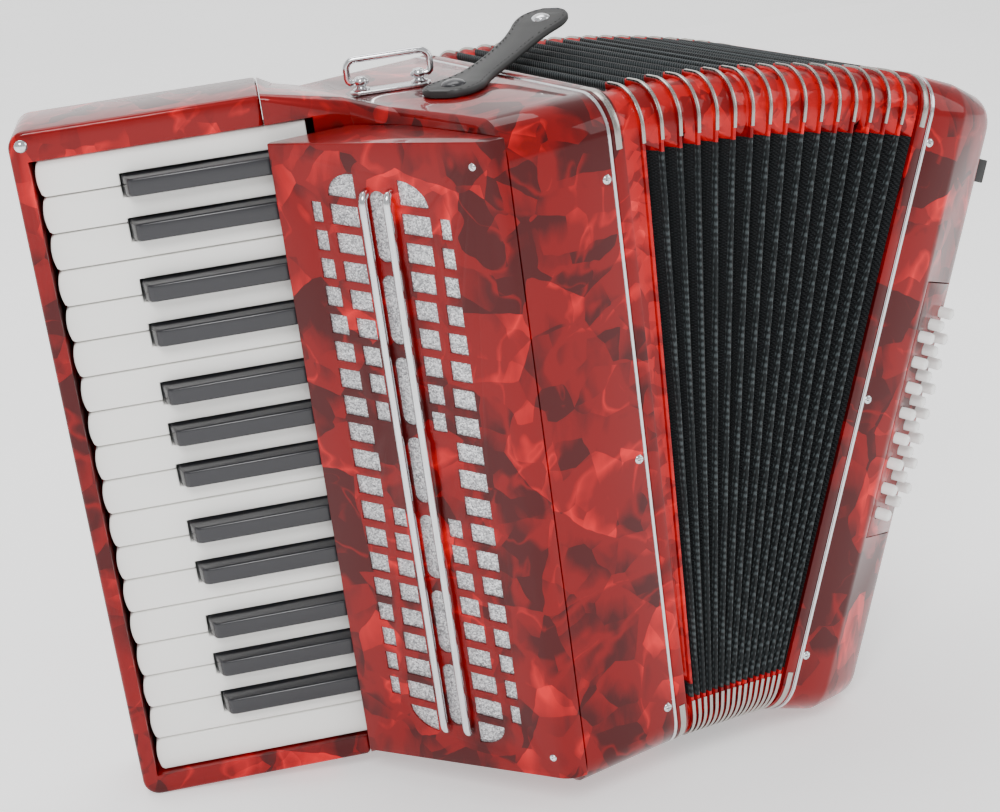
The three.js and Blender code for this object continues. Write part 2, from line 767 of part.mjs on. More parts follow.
// ---- closing strap for the bellows, swivelling on its stud ----
const studX = -36;
const studY = 0.41 * bodyDepth;
const closingHeading = THREE.MathUtils.degToRad(30);
const closingStations = [
  [-15, 0.6, 5], [-12.5, 0.6, 10.5], [-6, 0.6, 14.5], [4, 0.6, 15], [14, 0.7, 12.5],
  [26, 1.4, 10.2], [46, 3.8, 9.6], [68, 7.6, 10.2], [83, 10.6, 12.5], [93, 12.6, 15],
  [101, 14.2, 14.5], [107, 15.4, 10.5], [110, 16, 5],
];
const closingThick = 3.4;
const closingRings = closingStations.map(([along, lift, half]) => {
  const bottom = bodyHeight + lift;
  const points = [[-half, 0], [half, 0], [half, closingThick], [-half, closingThick]];
  return points.map(([side, rise]) => new THREE.Vector3(along, side, bottom + rise));
});
const closingStrap = loft(closingRings);
closingStrap.rotateZ(closingHeading);
closingStrap.translate(studX, studY, 0);
addNode('bellows_strap', closingStrap, 'leather');

// ---- carrying-strap bracket: a base with two posts and a loop swinging between them ----
const bracketX = -51.5;
const bracketY = 0.6 * bodyDepth;
const bracketHeading = THREE.MathUtils.degToRad(-24);
const postSpread = 15;
const loopRadius = 1.8;
const axisRise = 6;
const bracketFrame = new THREE.Matrix4().makeRotationZ(bracketHeading);
bracketFrame.setPosition(bracketX, bracketY, bodyHeight + gap);
const bracketBase = box(-postSpread - 6, postSpread + 6, -5, 5, 0, 1.8);
const posts = [-1, 1].map((side) => rod(side * postSpread, 0, 1, axisRise + 3, 3.2, 10));
const axisBore = new THREE.CylinderGeometry(loopRadius + gap, loopRadius + gap, 80, 10);
axisBore.rotateZ(Math.PI / 2);
axisBore.translate(0, 0, axisRise);
const bracket = cut(join(bracketBase, ...posts), axisBore);
addNode('strap_bracket', place(bracket, bracketFrame), 'chrome');

const loopHalf = postSpread + 6.5;
const loopRise = 12;
function bar(from, to, radius) {
  const span = to.clone().sub(from);
  const g = new THREE.CylinderGeometry(radius, radius, span.length(), 6);
  g.applyQuaternion(new THREE.Quaternion().setFromUnitVectors(new THREE.Vector3(0, 1, 0), span.normalize()));
  g.translate((from.x + to.x) / 2, (from.y + to.y) / 2, (from.z + to.z) / 2);
  return g;
}
const loopPoints = [
  [postSpread - 2.5, 0], [loopHalf, 0], [loopHalf, loopRise - 6], [loopHalf - 7, loopRise],
  [-loopHalf + 7, loopRise], [-loopHalf, loopRise - 6], [-loopHalf, 0], [-postSpread + 2.5, 0],
].map(([x, z]) => new THREE.Vector3(x, 0, axisRise + z));
const loopParts = [];
for (let i = 0; i < loopPoints.length - 1; i += 1) {
  loopParts.push(bar(loopPoints[i], loopPoints[i + 1], loopRadius));
}
for (let i = 1; i < loopPoints.length - 1; i += 1) {
  const knuckle = new THREE.SphereGeometry(loopRadius * 1.02, 6, 4);
  knuckle.translate(loopPoints[i].x, loopPoints[i].y, loopPoints[i].z);
  loopParts.push(knuckle);
}
addNode('strap_bail', place(join(...loopParts), bracketFrame), 'chrome');

// ---- lean the whole thing until both outer lower corners touch the floor ----
function lowest(name, angle) {
  const p = group.getObjectByName(name).geometry.attributes.position;
  let low = Infinity;
  for (let i = 0; i < p.count; i += 1) {
    low = Math.min(low, -p.getX(i) * Math.sin(angle) + p.getZ(i) * Math.cos(angle));
  }
  return low;
}
let leanLow = -Math.PI / 6;
let leanHigh = Math.PI / 6;
for (let i = 0; i < 50; i += 1) {
  const middle = (leanLow + leanHigh) / 2;
  if (lowest('keyboard_frame', middle) > lowest('bass_casing', middle)) {
    leanHigh = middle;
  } else {
    leanLow = middle;
  }
}
const lean = new THREE.Matrix4().makeRotationY((leanLow + leanHigh) / 2);
for (const mesh of group.children) {
  mesh.geometry.applyMatrix4(lean);
}
const bounds = new THREE.Box3().setFromObject(group);
const shift = bounds.getCenter(new THREE.Vector3());
for (const mesh of group.children) {
  mesh.geometry.translate(-shift.x, -shift.y, -bounds.min.z);
}

export default group;
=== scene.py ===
"""Looks of a piano accordion that stands half fanned open: shells, keys, bellows, straps and trim."""

from __future__ import annotations

import json
import logging
import math
from dataclasses import dataclass, field
from enum import Enum
from typing import Callable, Sequence

import bmesh
import bpy
from mathutils import Matrix, Vector


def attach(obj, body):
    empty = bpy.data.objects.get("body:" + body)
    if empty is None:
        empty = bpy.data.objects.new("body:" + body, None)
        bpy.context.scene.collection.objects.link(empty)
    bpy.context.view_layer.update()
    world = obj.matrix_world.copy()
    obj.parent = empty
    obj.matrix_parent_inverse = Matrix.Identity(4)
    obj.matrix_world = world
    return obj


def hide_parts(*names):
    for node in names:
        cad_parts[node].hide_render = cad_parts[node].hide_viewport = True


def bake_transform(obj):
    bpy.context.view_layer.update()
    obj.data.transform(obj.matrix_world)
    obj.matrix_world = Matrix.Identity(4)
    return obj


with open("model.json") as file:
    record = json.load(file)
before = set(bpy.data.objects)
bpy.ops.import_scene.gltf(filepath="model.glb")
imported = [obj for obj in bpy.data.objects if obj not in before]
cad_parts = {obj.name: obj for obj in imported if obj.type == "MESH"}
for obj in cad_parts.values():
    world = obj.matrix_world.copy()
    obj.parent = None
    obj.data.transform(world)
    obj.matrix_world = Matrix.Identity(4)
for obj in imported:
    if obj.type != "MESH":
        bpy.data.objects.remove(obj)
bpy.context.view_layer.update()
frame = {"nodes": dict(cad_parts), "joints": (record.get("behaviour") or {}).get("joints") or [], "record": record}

logging.basicConfig(level=logging.INFO, format="%(levelname)s %(message)s")
LOG = logging.getLogger("accordion")

MM = 0.001
Point = tuple[float, float]
Ring = list[Vector]
Socket = bpy.types.NodeSocket
Object = bpy.types.Object
Material = bpy.types.Material


# --------------------------------------------------------------------------- sizes shared by all
@dataclass(frozen=True)
class Sizes:
    """The driving sizes of the instrument, in millimetres."""

    key_pitch: float = 19.0
    white_count: int = 18
    depth: float = 205.0
    corner: float = 20.0
    fan: float = math.radians(22.7)
    front_wall: float = 57.6
    key_slant: float = math.radians(22.3)
    key_line_x: float = -232.0
    key_bottom: float = 14.3
    visible_key: float = 113.0
    frame_thick: float = 6.7
    gap: float = 0.3

    @property
    def keyboard(self) -> float:
        """Length of the whole keyboard."""
        return self.key_pitch * self.white_count

    @property
    def height(self) -> float:
        """Height of the casings and the bellows."""
        return self.keyboard + 15.0

    @property
    def frame_end(self) -> float:
        """Where a bellows frame ends and the next piece begins."""
        return self.frame_thick + 2 * self.gap

    @property
    def key_top(self) -> float:
        """Height of the upper end of the keyboard."""
        return self.key_bottom + self.keyboard

    @property
    def key_line_y(self) -> float:
        """How far back the front ends of the keys lie."""
        return 0.78 * self.depth


S = Sizes()


@dataclass(frozen=True)
class Axes:
    """A set of axes in the row frame, with lengths along them in millimetres."""

    origin: Vector
    x: Vector
    y: Vector
    z: Vector

    def at(self, x: float, y: float, z: float) -> Vector:
        """Place a local point in the row frame, in metres."""
        return self.origin + (self.x * x + self.y * y + self.z * z) * MM

    def towards(self, x: float, y: float, z: float) -> Vector:
        """Turn a local direction into the row frame."""
        return self.x * x + self.y * y + self.z * z

    def matrix(self) -> Matrix:
        """The axes as a matrix that takes local millimetres to row-frame metres."""
        m = Matrix.Identity(4)
        for column, axis in enumerate((self.x, self.y, self.z)):
            for line in range(3):
                m[line][column] = axis[line] * MM
        m.translation = self.origin
        return m

    def local(self, origin: Sequence[float], x: Sequence[float], y: Sequence[float]) -> "Axes":
        """Make axes inside these ones.

        Args:
            origin: where the new axes start, in these axes.
            x: the new first direction.
            y: the new second direction.

        Returns:
            The new axes.
        """
        first = self.towards(*x).normalized()
        second = self.towards(*y).normalized()
        return Axes(self.at(*origin), first, second, first.cross(second))


def joint_named(name: str) -> dict:
    """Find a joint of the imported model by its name."""
    return next(j for j in frame["joints"] if j["name"] == name)


def treble_axes() -> Axes:
    """Axes of the treble body: its front lower corner at the bellows seam, x to the bass, z up it."""
    foot = next(m for m in frame["record"]["mounts"] if m["name"] == "treble_foot")
    up = -Vector(foot["axis"]).normalized()
    back = Vector((0.0, 1.0, 0.0))
    right = back.cross(up)
    origin = Vector(foot["pos_m"]) + right * 30.0 * MM - back * S.depth / 2 * MM
    return Axes(origin, right, back, up)


def bass_axes() -> Axes:
    """Axes of the bass body, in the same corner as the treble ones and fanned over."""
    hinge = joint_named("bellows_fan")
    right = -Vector(joint_named("air_button_press")["axis"]).normalized()
    back = Vector((0.0, 1.0, 0.0))
    origin = Vector(hinge["pos_m"]) - back * S.depth / 2 * MM
    return Axes(origin, right, back, right.cross(back))


TREBLE = treble_axes()
BASS = bass_axes()
_COS, _SIN = math.cos(S.key_slant), math.sin(S.key_slant)
KEYS = TREBLE.local((S.key_line_x, S.key_line_y, 0.0), (_COS, -_SIN, 0.0), (0.0, 0.0, 1.0))


def key_plan(along: float, out: float) -> Point:
    """Where a point of the key plane lies in the treble plan."""
    x = S.key_line_x + _COS * along - _SIN * out
    y = S.key_line_y - _SIN * along - _COS * out
    return x, y


# --------------------------------------------------------------------------- node trees
class Tree:
    """A small writer for node trees."""

    tree: bpy.types.NodeTree

    def node(self, kind: str, inputs: dict | None = None, **settings: object) -> bpy.types.Node:
        """Add a node.

        Args:
            kind: the node's type.
            inputs: input name or number to a value, or to a socket that feeds it.
            settings: properties of the node itself.

        Returns:
            The node.
        """
        made = self.tree.nodes.new(kind)
        for key, value in settings.items():
            setattr(made, key, value)
        for key, value in (inputs or {}).items():
            if isinstance(value, Socket):
                self.tree.links.new(value, made.inputs[key])
            else:
                made.inputs[key].default_value = value
        return made

    def math(self, operation: str, first: object, second: object = 0.0) -> Socket:
        """One arithmetic step."""
        return self.node("ShaderNodeMath", {0: first, 1: second}, operation=operation).outputs[0]


class Nodes(Tree):
    """A small writer for shader trees."""

    def __init__(self, name: str) -> None:
        """Start an empty material tree."""
        self.material = bpy.data.materials.new(name)
        self.material.use_nodes = True
        self.tree = self.material.node_tree
        self.tree.nodes.clear()
        self.output = self.tree.nodes.new("ShaderNodeOutputMaterial")
        self.shader = self.tree.nodes.new("ShaderNodeBsdfPrincipled")
        self.tree.links.new(self.shader.outputs[0], self.output.inputs[0])
        self.place = self.tree.nodes.new("ShaderNodeTexCoord").outputs["Object"]

    def link(self, socket: Socket, name: str) -> None:
        """Feed one of the shader's inputs."""
        self.tree.links.new(socket, self.shader.inputs[name])

    def set(self, **values: object) -> None:
        """Set the shader's plain values, with underscores for spaces."""
        for key, value in values.items():
            self.shader.inputs[key.replace("_", " ")].default_value = value

    def moved(self, scale: Sequence[float] = (1, 1, 1), turn: Sequence[float] = (0, 0, 0)) -> Socket:
        """Object coordinates, scaled and turned."""
        mapping = self.node("ShaderNodeMapping", {"Vector": self.place, "Scale": scale, "Rotation": turn})
        return mapping.outputs[0]

    def noise(self, scale: float, detail: float = 3.0, vector: Socket | None = None,
              distortion: float = 0.0) -> bpy.types.Node:
        """A noise texture on object coordinates."""
        inputs = {"Vector": vector or self.place, "Scale": scale, "Detail": detail,
                  "Distortion": distortion}
        return self.node("ShaderNodeTexNoise", inputs)

    def vector(self, operation: str, first: object, second: object) -> Socket:
        """One step of vector arithmetic."""
        name = "Scale" if operation == "SCALE" else 1
        return self.node("ShaderNodeVectorMath", {0: first, name: second}, operation=operation).outputs[0]

    def spanned(self, value: Socket, low: float, high: float) -> Socket:
        """Spread a value from 0 to 1 over another range."""
        return self.node("ShaderNodeMapRange", {"Value": value, "To Min": low, "To Max": high}).outputs[0]

    def ramp(self, factor: Socket, stops: Sequence[tuple[float, Sequence[float]]]) -> Socket:
        """A colour ramp with the given stops."""
        made = self.node("ShaderNodeValToRGB", {"Fac": factor})
        elements = made.color_ramp.elements
        while len(elements) < len(stops):
            elements.new(0.5)
        for element, (position, colour) in zip(elements, stops):
            element.position = position
            element.color = (*colour[:3], 1.0)
        return made.outputs[0]

    def bump(self, height: Socket, strength: float, distance: float) -> None:
        """Give the shader a bump from a height."""
        made = self.node("ShaderNodeBump", {"Height": height, "Strength": strength, "Distance": distance})
        self.link(made.outputs[0], "Normal")


@dataclass(frozen=True)
class Celluloid:
    """Marbled pearl celluloid under a clear polish: broad flakes, each with a painted sheen as if it caught the
    light one way, and painted highlight streaks.
    """

    name: str = "red_pearl"
    deep: tuple = (0.062, 0.0002, 0.0007)
    middle: tuple = (0.20, 0.0003, 0.0010)
    bright: tuple = (0.70, 0.004, 0.008)
    flake: float = 24.0
    drift: float = 0.013

    def build(self) -> Material:
        """Make the material."""
        n = Nodes(self.name)
        drift = n.noise(26.0, 3.0)
        half = (0.5, 0.5, 0.5)
        push = n.vector("SCALE", n.vector("SUBTRACT", drift.outputs["Color"], half), self.drift)
        warped = n.vector("ADD", n.place, push)
        flake_tone_and_sheen = []
        for scale, turn in ((self.flake, (0.4, 0.2, 0.7)), (self.flake * 2.1, (1.1, 0.5, 0.2))):
            turned = n.node("ShaderNodeMapping", {"Vector": warped, "Rotation": turn}).outputs[0]
            cell = n.node("ShaderNodeTexVoronoi", {"Vector": turned, "Scale": scale, "Randomness": 1.0})
            scaled = n.vector("SCALE", turned, scale)
            middle = n.vector("SCALE", cell.outputs["Position"], scale)
            inside = n.vector("SUBTRACT", scaled, middle)
            facing = n.vector("SUBTRACT", cell.outputs["Color"], half)
            across = n.node("ShaderNodeVectorMath", {0: inside, 1: facing}, operation="DOT_PRODUCT")
            tone = n.node("ShaderNodeSeparateColor", {0: cell.outputs["Color"]}).outputs[0]
            # painted sheen: each flake is coloured lighter towards one side, as if it caught the light one way
            painted_flake_sheen = n.math("MULTIPLY", across.outputs["Value"], 1.35)
            flake_tone_and_sheen.append(n.math("ADD", n.math("MULTIPLY", tone, 0.34), painted_flake_sheen))
        blended = n.math("ADD", n.math("MULTIPLY", flake_tone_and_sheen[0], 0.60), n.math("MULTIPLY", flake_tone_and_sheen[1], 0.40))
        cloud = n.noise(11.0, 4.0, warped).outputs["Fac"]
        streak = n.noise(70.0, 5.0, n.node("ShaderNodeMapping",
                                           {"Vector": warped, "Scale": (1.0, 1.0, 0.35)}).outputs[0], 1.2)
        tone = n.math("ADD", blended, n.math("MULTIPLY", n.math("SUBTRACT", cloud, 0.5), 0.9))
        tone = n.math("ADD", tone, n.math("MULTIPLY", n.math("SUBTRACT", streak.outputs["Fac"], 0.5), 0.35))
        # painted highlight streaks: thin bright silky lines added to the tone of the pearl
        highlight_streak_noise = n.noise(13.0, 2.0, warped, 1.6).outputs["Fac"]
        leather_crease_and_pearl_highlight = n.math("SUBTRACT", 1.0,
                        n.math("MULTIPLY", n.math("ABSOLUTE", n.math("SUBTRACT", highlight_streak_noise, 0.5)), 16.0))
        leather_crease_and_pearl_highlight = n.math("POWER", n.math("MAXIMUM", leather_crease_and_pearl_highlight, 0.0), 2.0)
        tone = n.math("ADD", tone, n.math("MULTIPLY", leather_crease_and_pearl_highlight, 0.26))
        colour = n.ramp(tone,
                        ((0.0, self.deep), (0.20, self.middle), (0.40, self.middle), (0.80, self.bright)))
        n.link(colour, "Base Color")
        n.link(n.spanned(tone, 0.45, 0.30), "Roughness")
        n.set(Metallic=0.25, Coat_Weight=0.7, Coat_Roughness=0.03, Coat_IOR=1.38, Specular_IOR_Level=0.08)
        n.bump(n.noise(9.0, 2.0).outputs["Fac"], 0.06, 0.002)
        return n.material


@dataclass(frozen=True)
class Gloss:
    """Moulded glossy plastic with a faint cloudiness and fine handling marks."""

    name: str
    colour: tuple
    shade: tuple
    roughness: float = 0.18
    coat: float = 0.6

    def build(self) -> Material:
        """Make the material."""
        n = Nodes(self.name)
        cloud = n.noise(38.0, 4.0).outputs["Fac"]
        n.link(n.ramp(cloud, ((0.25, self.shade), (0.75, self.colour))), "Base Color")
        fine = n.noise(420.0, 3.0, n.moved((1.0, 1.0, 0.12))).outputs["Fac"]
        n.link(n.spanned(fine, self.roughness * 0.7, self.roughness * 1.4), "Roughness")
        n.set(Coat_Weight=self.coat, Coat_Roughness=0.06, Specular_IOR_Level=min(0.5, 0.1 + self.coat))
        n.bump(fine, 0.02, 0.0005)
        return n.material


@dataclass(frozen=True)
class Plated:
    """Bright plated metal with fine polishing lines."""

    name: str = "bright_chrome"
    colour: tuple = (0.72, 0.73, 0.75)
    roughness: float = 0.14

    def build(self) -> Material:
        """Make the material."""
        n = Nodes(self.name)
        lines = n.noise(900.0, 2.0, n.moved((1.0, 1.0, 0.06))).outputs["Fac"]
        dull = tuple(c * 0.82 for c in self.colour)
        n.link(n.ramp(lines, ((0.3, dull), (0.7, self.colour))), "Base Color")
        n.link(n.spanned(lines, self.roughness * 0.6, self.roughness * 1.6), "Roughness")
        n.set(Metallic=1.0)
        n.bump(lines, 0.03, 0.0003)
        return n.material


class Weave(Enum):
    """Which way a cloth is patterned."""

    DIAMOND = "diamond"
    PLAIN = "plain"


@dataclass(frozen=True)
class Cloth:
    """Black binding or folded cloth, with a diamond emboss or a plain weave."""

    name: str
    weave: Weave
    colour: tuple = (0.0065, 0.0085, 0.0095)
    sheen: tuple = (0.05, 0.062, 0.066)
    pitch: float = 0.0042

    def build(self) -> Material:
        """Make the material."""
        n = Nodes(self.name)
        wobble = n.noise(160.0, 2.0)
        place = n.vector("ADD", n.place, n.vector("SCALE", wobble.outputs["Color"], 0.0007))
        parts = n.node("ShaderNodeSeparateXYZ", {0: place})
        flat = n.math("ADD", parts.outputs[0], parts.outputs[1])
        tall = parts.outputs[2]
        if self.weave is Weave.PLAIN:
            first, second = flat, tall
        else:
            first = n.math("ADD", flat, n.math("MULTIPLY", tall, 0.55))
            second = n.math("SUBTRACT", flat, n.math("MULTIPLY", tall, 0.55))
        turns = 2 * math.pi / self.pitch
        one = n.math("SINE", n.math("MULTIPLY", first, turns))
        two = n.math("SINE", n.math("MULTIPLY", second, turns))
        height = n.math("MULTIPLY", one, two)
        grain = n.noise(2600.0, 2.0).outputs["Fac"]
        height = n.math("ADD", height, n.math("MULTIPLY", grain, 0.6))
        n.link(n.ramp(height, ((0.35, self.colour), (1.0, self.sheen))), "Base Color")
        n.set(Roughness=0.62, Sheen_Weight=0.06, Sheen_Roughness=0.45, Specular_IOR_Level=0.22)
        n.bump(height, 0.55, 0.0006)
        return n.material


@dataclass(frozen=True)
class Leather:
    """Smooth black leather with a fine pebbled grain."""

    name: str = "black_leather"
    colour: tuple = (0.008, 0.008, 0.009)
    worn: tuple = (0.028, 0.027, 0.028)

    def build(self) -> Material:
        """Make the material."""
        n = Nodes(self.name)
        pebble = n.node("ShaderNodeTexVoronoi", {"Vector": n.place, "Scale": 1500.0}).outputs["Distance"]
        leather_crease_and_pearl_highlight = n.noise(240.0, 4.0).outputs["Fac"]
        n.link(n.ramp(leather_crease_and_pearl_highlight, ((0.4, self.colour), (0.8, self.worn))), "Base Color")
        n.link(n.spanned(leather_crease_and_pearl_highlight, 0.30, 0.52), "Roughness")
        n.set(Specular_IOR_Level=0.5)
        n.bump(n.math("ADD", pebble, n.math("MULTIPLY", leather_crease_and_pearl_highlight, 0.7)), 0.35, 0.0004)
        return n.material


@dataclass(frozen=True)
class Glitter:
    """Silver grille cloth full of small bright flecks."""

    name: str = "silver_glitter"

    def build(self) -> Material:
        """Make the material."""
        n = Nodes(self.name)
        fleck = n.node("ShaderNodeTexVoronoi", {"Vector": n.place, "Scale": 1350.0})
        tone = n.node("ShaderNodeSeparateColor", {0: fleck.outputs["Color"]}).outputs[1]
        stops = ((0.0, (0.22, 0.22, 0.23)), (0.5, (0.50, 0.50, 0.52)), (1.0, (0.98, 0.98, 1.0)))
        n.link(n.ramp(tone, stops), "Base Color")
        n.link(n.spanned(tone, 0.55, 0.25), "Roughness")
        n.set(Metallic=0.45)
        n.bump(fleck.outputs["Distance"], 0.6, 0.0006)
        return n.material


@dataclass(frozen=True)
class Wood:
    """Plain pale wood for the reed blocks, with grain along the block."""

    name: str = "reed_wood"

    def build(self) -> Material:
        """Make the material."""
        n = Nodes(self.name)
        grain = n.noise(90.0, 5.0, n.moved((1.0, 1.0, 0.08)), 0.8).outputs["Fac"]
        n.link(n.ramp(grain, ((0.3, (0.32, 0.19, 0.09)), (0.7, (0.60, 0.42, 0.23)))), "Base Color")
        n.set(Roughness=0.6)
        n.bump(grain, 0.2, 0.0005)
        return n.material


@dataclass(frozen=True)
class Ground:
    """A pale matt floor with the faintest mottling."""

    name: str = "pale_floor"

    def build(self) -> Material:
        """Make the material."""
        n = Nodes(self.name)
        n.link(n.ramp(n.noise(3.0).outputs["Fac"], ((0.3, (0.90, 0.90, 0.90)), (0.7, (0.93, 0.93, 0.93)))),
               "Base Color")
        n.set(Roughness=0.75, Emission_Color=(1.0, 1.0, 1.0, 1.0), Emission_Strength=0.55)
        return n.material


class Finish(Enum):
    """The finishes of the instrument, each with its recipe."""

    RED = Celluloid()
    RED_PANEL = Celluloid("red_corner_panel", (0.20, 0.001, 0.002), (0.46, 0.002, 0.004),
                          (0.78, 0.014, 0.016), 60.0)
    WHITE = Gloss("key_white", (0.90, 0.89, 0.86), (0.84, 0.83, 0.80), 0.16)
    BUTTON = Gloss("button_white", (0.90, 0.90, 0.88), (0.83, 0.83, 0.80), 0.2)
    BLACK = Gloss("key_black", (0.009, 0.0095, 0.011), (0.006, 0.006, 0.007), 0.13, 0.0)
    # painted shadow: a dark blue-black given to the cutters of the wells, pockets, openings, bores and holes
    SHADOW = Gloss("painted_shadow_inside", (0.012, 0.012, 0.035), (0.008, 0.008, 0.02), 0.5)
    CHROME = Plated()
    SATIN = Plated("corner_nickel", (0.46, 0.44, 0.41), 0.24)
    TAPE = Cloth("ridge_tape", Weave.DIAMOND)
    FOLD = Cloth("fold_cloth", Weave.PLAIN, (0.004, 0.005, 0.006), (0.018, 0.021, 0.023), 0.0016)
    LEATHER = Leather()
    THREAD = Cloth("stitch_thread", Weave.PLAIN, (0.012, 0.012, 0.012), (0.06, 0.06, 0.06), 0.0006)
    GLITTER = Glitter()
    WOOD = Wood()
    FLOOR = Ground()

    def material(self) -> Material:
        """The finish's material, made the first time it is asked for."""
        found = bpy.data.materials.get(self.value.name)
        return found or self.value.build()


# --------------------------------------------------------------------------- mesh tools
def rounded(x0: float, x1: float, y0: float, y1: float, radius: float, steps: int = 8) -> list[Point]:
    """Corner points of a rounded rectangle, going round once."""
    points: list[Point] = []
    corners = ((x1 - radius, y0 + radius, -90), (x1 - radius, y1 - radius, 0),
               (x0 + radius, y1 - radius, 90), (x0 + radius, y0 + radius, 180))
    for cx, cy, start in corners:
        for i in range(steps + 1):
            a = math.radians(start + 90 * i / steps)
            points.append((cx + radius * math.cos(a), cy + radius * math.sin(a)))
    return points


def smooth_track(values: Sequence[Sequence[float]], per_span: int) -> list[tuple[float, ...]]:
    """Run a smooth line through a list of points.

    Args:
        values: the points, of any number of coordinates.
        per_span: how many steps there are between two points.

    Returns:
        The finer list, which holds the first and last points.
    """
    out: list[tuple[float, ...]] = []
    last = len(values) - 1
    for i in range(last):
        a, b, c, d = (values[max(i - 1, 0)], values[i], values[i + 1], values[min(i + 2, last)])
        for k in range(per_span):
            t = k / per_span
            out.append(tuple(
                0.5 * (2 * q + (r - p) * t + (2 * p - 5 * q + 4 * r - s) * t * t
                       + (3 * q - p - 3 * r + s) * t ** 3)
                for p, q, r, s in zip(a, b, c, d)))
    out.append(tuple(values[last]))
    return out


class Piece:
    """A mesh under construction that ends as one finished object on one body."""

    def __init__(self, name: str) -> None:
        """Start an empty piece."""
        self.name = name
        self.mesh = bmesh.new()
        self.finishes: list[Finish] = []

    def finish_index(self, finish: Finish) -> int:
        """The material index of a finish on this piece."""
        if finish not in self.finishes:
            self.finishes.append(finish)
        return self.finishes.index(finish)

    def loft(self, rings: Sequence[Ring], finish: Finish, closed: bool = False, cap: bool = True,
             paint: Callable[[int], Finish] | None = None) -> "Piece":
        """Skin a run of rings.

        Args:
            rings: the rings, each with as many points.
            finish: the finish of the skin.
            closed: whether the last ring joins the first, as in a tube.
            cap: whether the two ends are closed with a face.
            paint: gives the finish for each place round a ring.

        Returns:
            The piece itself.
        """
        loops = [[self.mesh.verts.new(p) for p in ring] for ring in rings]
        count = len(loops[0])
        index = self.finish_index(finish)
        spans = len(loops) if closed else len(loops) - 1
        for j in range(spans):
            a, b = loops[j], loops[(j + 1) % len(loops)]
            for i in range(count):
                k = (i + 1) % count
                face = self.mesh.faces.new((a[i], b[i], b[k], a[k]))
                face.material_index = self.finish_index(paint(i)) if paint else index
                face.smooth = True
        if cap and not closed:
            for loop in (loops[0], loops[-1]):
                face = self.mesh.faces.new(loop)
                face.material_index = index
        return self

    def prism(self, outline: Sequence[Point], low: float, high: float, axes: Axes,
              finish: Finish) -> "Piece":
        """Push an outline in the first two axes along the third one."""
        rings = [[axes.at(x, y, z) for x, y in outline] for z in (low, high)]
        return self.loft(rings, finish)

    def box(self, low: Sequence[float], high: Sequence[float], axes: Axes, finish: Finish) -> "Piece":
        """A rectangular block between two corners."""
        outline = [(low[0], low[1]), (high[0], low[1]), (high[0], high[1]), (low[0], high[1])]
        return self.prism(outline, low[2], high[2], axes, finish)

    def lathe(self, profile: Sequence[Point], axes: Axes, finish: Finish, sides: int = 32) -> "Piece":
        """Turn a profile of radius and height about the third axis; it starts and ends on the axis."""
        index = self.finish_index(finish)
        loops = []
        for radius, height in profile:
            if radius < 1e-6:
                loops.append([self.mesh.verts.new(axes.at(0, 0, height))])
            else:
                turns = [2 * math.pi * i / sides for i in range(sides)]
                loops.append([self.mesh.verts.new(axes.at(radius * math.cos(a), radius * math.sin(a),
                                                          height))
                              for a in turns])
        for a, b in zip(loops, loops[1:]):
            for i in range(sides):
                k = (i + 1) % sides
                corners = [a[i % len(a)], a[k % len(a)], b[k % len(b)], b[i % len(b)]]
                kept = list(dict.fromkeys(corners))
                face = self.mesh.faces.new(kept)
                face.material_index = index
                face.smooth = True
        return self

    def tube(self, path: Sequence[Vector], radius: float, finish: Finish, sides: int = 14) -> "Piece":
        """Sweep a round section along a path given in metres, with domed ends."""
        normal = (path[1] - path[0]).orthogonal().normalized()
        stations: list[tuple[Vector, Vector, float]] = []
        for i, p in enumerate(path):
            ahead = path[min(i + 1, len(path) - 1)] - path[max(i - 1, 0)]
            stations.append((p, ahead.normalized(), radius))
        ends = []
        for p, ahead, sign in ((path[0], stations[0][1], -1), (path[-1], stations[-1][1], 1)):
            ends.append([(p + ahead * sign * radius * MM * math.sin(a), ahead,
                          radius * max(math.cos(a), 0.08))
                         for a in (math.radians(30), math.radians(60), math.radians(88))])
        stations = ends[0][::-1] + stations + ends[1]
        rings = []
        for p, ahead, r in stations:
            normal = (normal - ahead * normal.dot(ahead)).normalized()
            side = ahead.cross(normal)
            rings.append([p + (normal * math.cos(a) + side * math.sin(a)) * r * MM
                          for a in (2 * math.pi * i / sides for i in range(sides))])
        return self.loft(rings, finish)

    def object(self, sharp: float = 35.0) -> Object:
        """Turn the mesh into an object, with faces out and edges over an angle kept crisp."""
        bmesh.ops.remove_doubles(self.mesh, verts=self.mesh.verts, dist=1e-7)
        bmesh.ops.recalc_face_normals(self.mesh, faces=self.mesh.faces)
        data = bpy.data.meshes.new(self.name)
        self.mesh.to_mesh(data)
        self.mesh.free()
        for finish in self.finishes:
            data.materials.append(finish.material())
        data.set_sharp_from_angle(angle=math.radians(sharp))
        made = bpy.data.objects.new(self.name, data)
        bpy.context.scene.collection.objects.link(made)
        return made


def baked(target: Object, sharp: float = 35.0) -> Object:
    """Turn an object's modifiers into plain mesh."""
    graph = bpy.context.evaluated_depsgraph_get()
    data = bpy.data.meshes.new_from_object(target.evaluated_get(graph))
    target.modifiers.clear()
    old = target.data
    target.data = data
    bpy.data.meshes.remove(old)
    for polygon in data.polygons:
        polygon.use_smooth = True
    data.set_sharp_from_angle(angle=math.radians(sharp))
    return target


def cut_away(target: Object, *tools: Object) -> Object:
    """Take tool solids out of an object and throw the tools away."""
    for tool in tools:
        modifier = target.modifiers.new("cut", "BOOLEAN")
        modifier.operation = "DIFFERENCE"
        modifier.solver = "EXACT"
        modifier.object = tool
    baked(target)
    for tool in tools:
        bpy.data.objects.remove(tool)
    return target


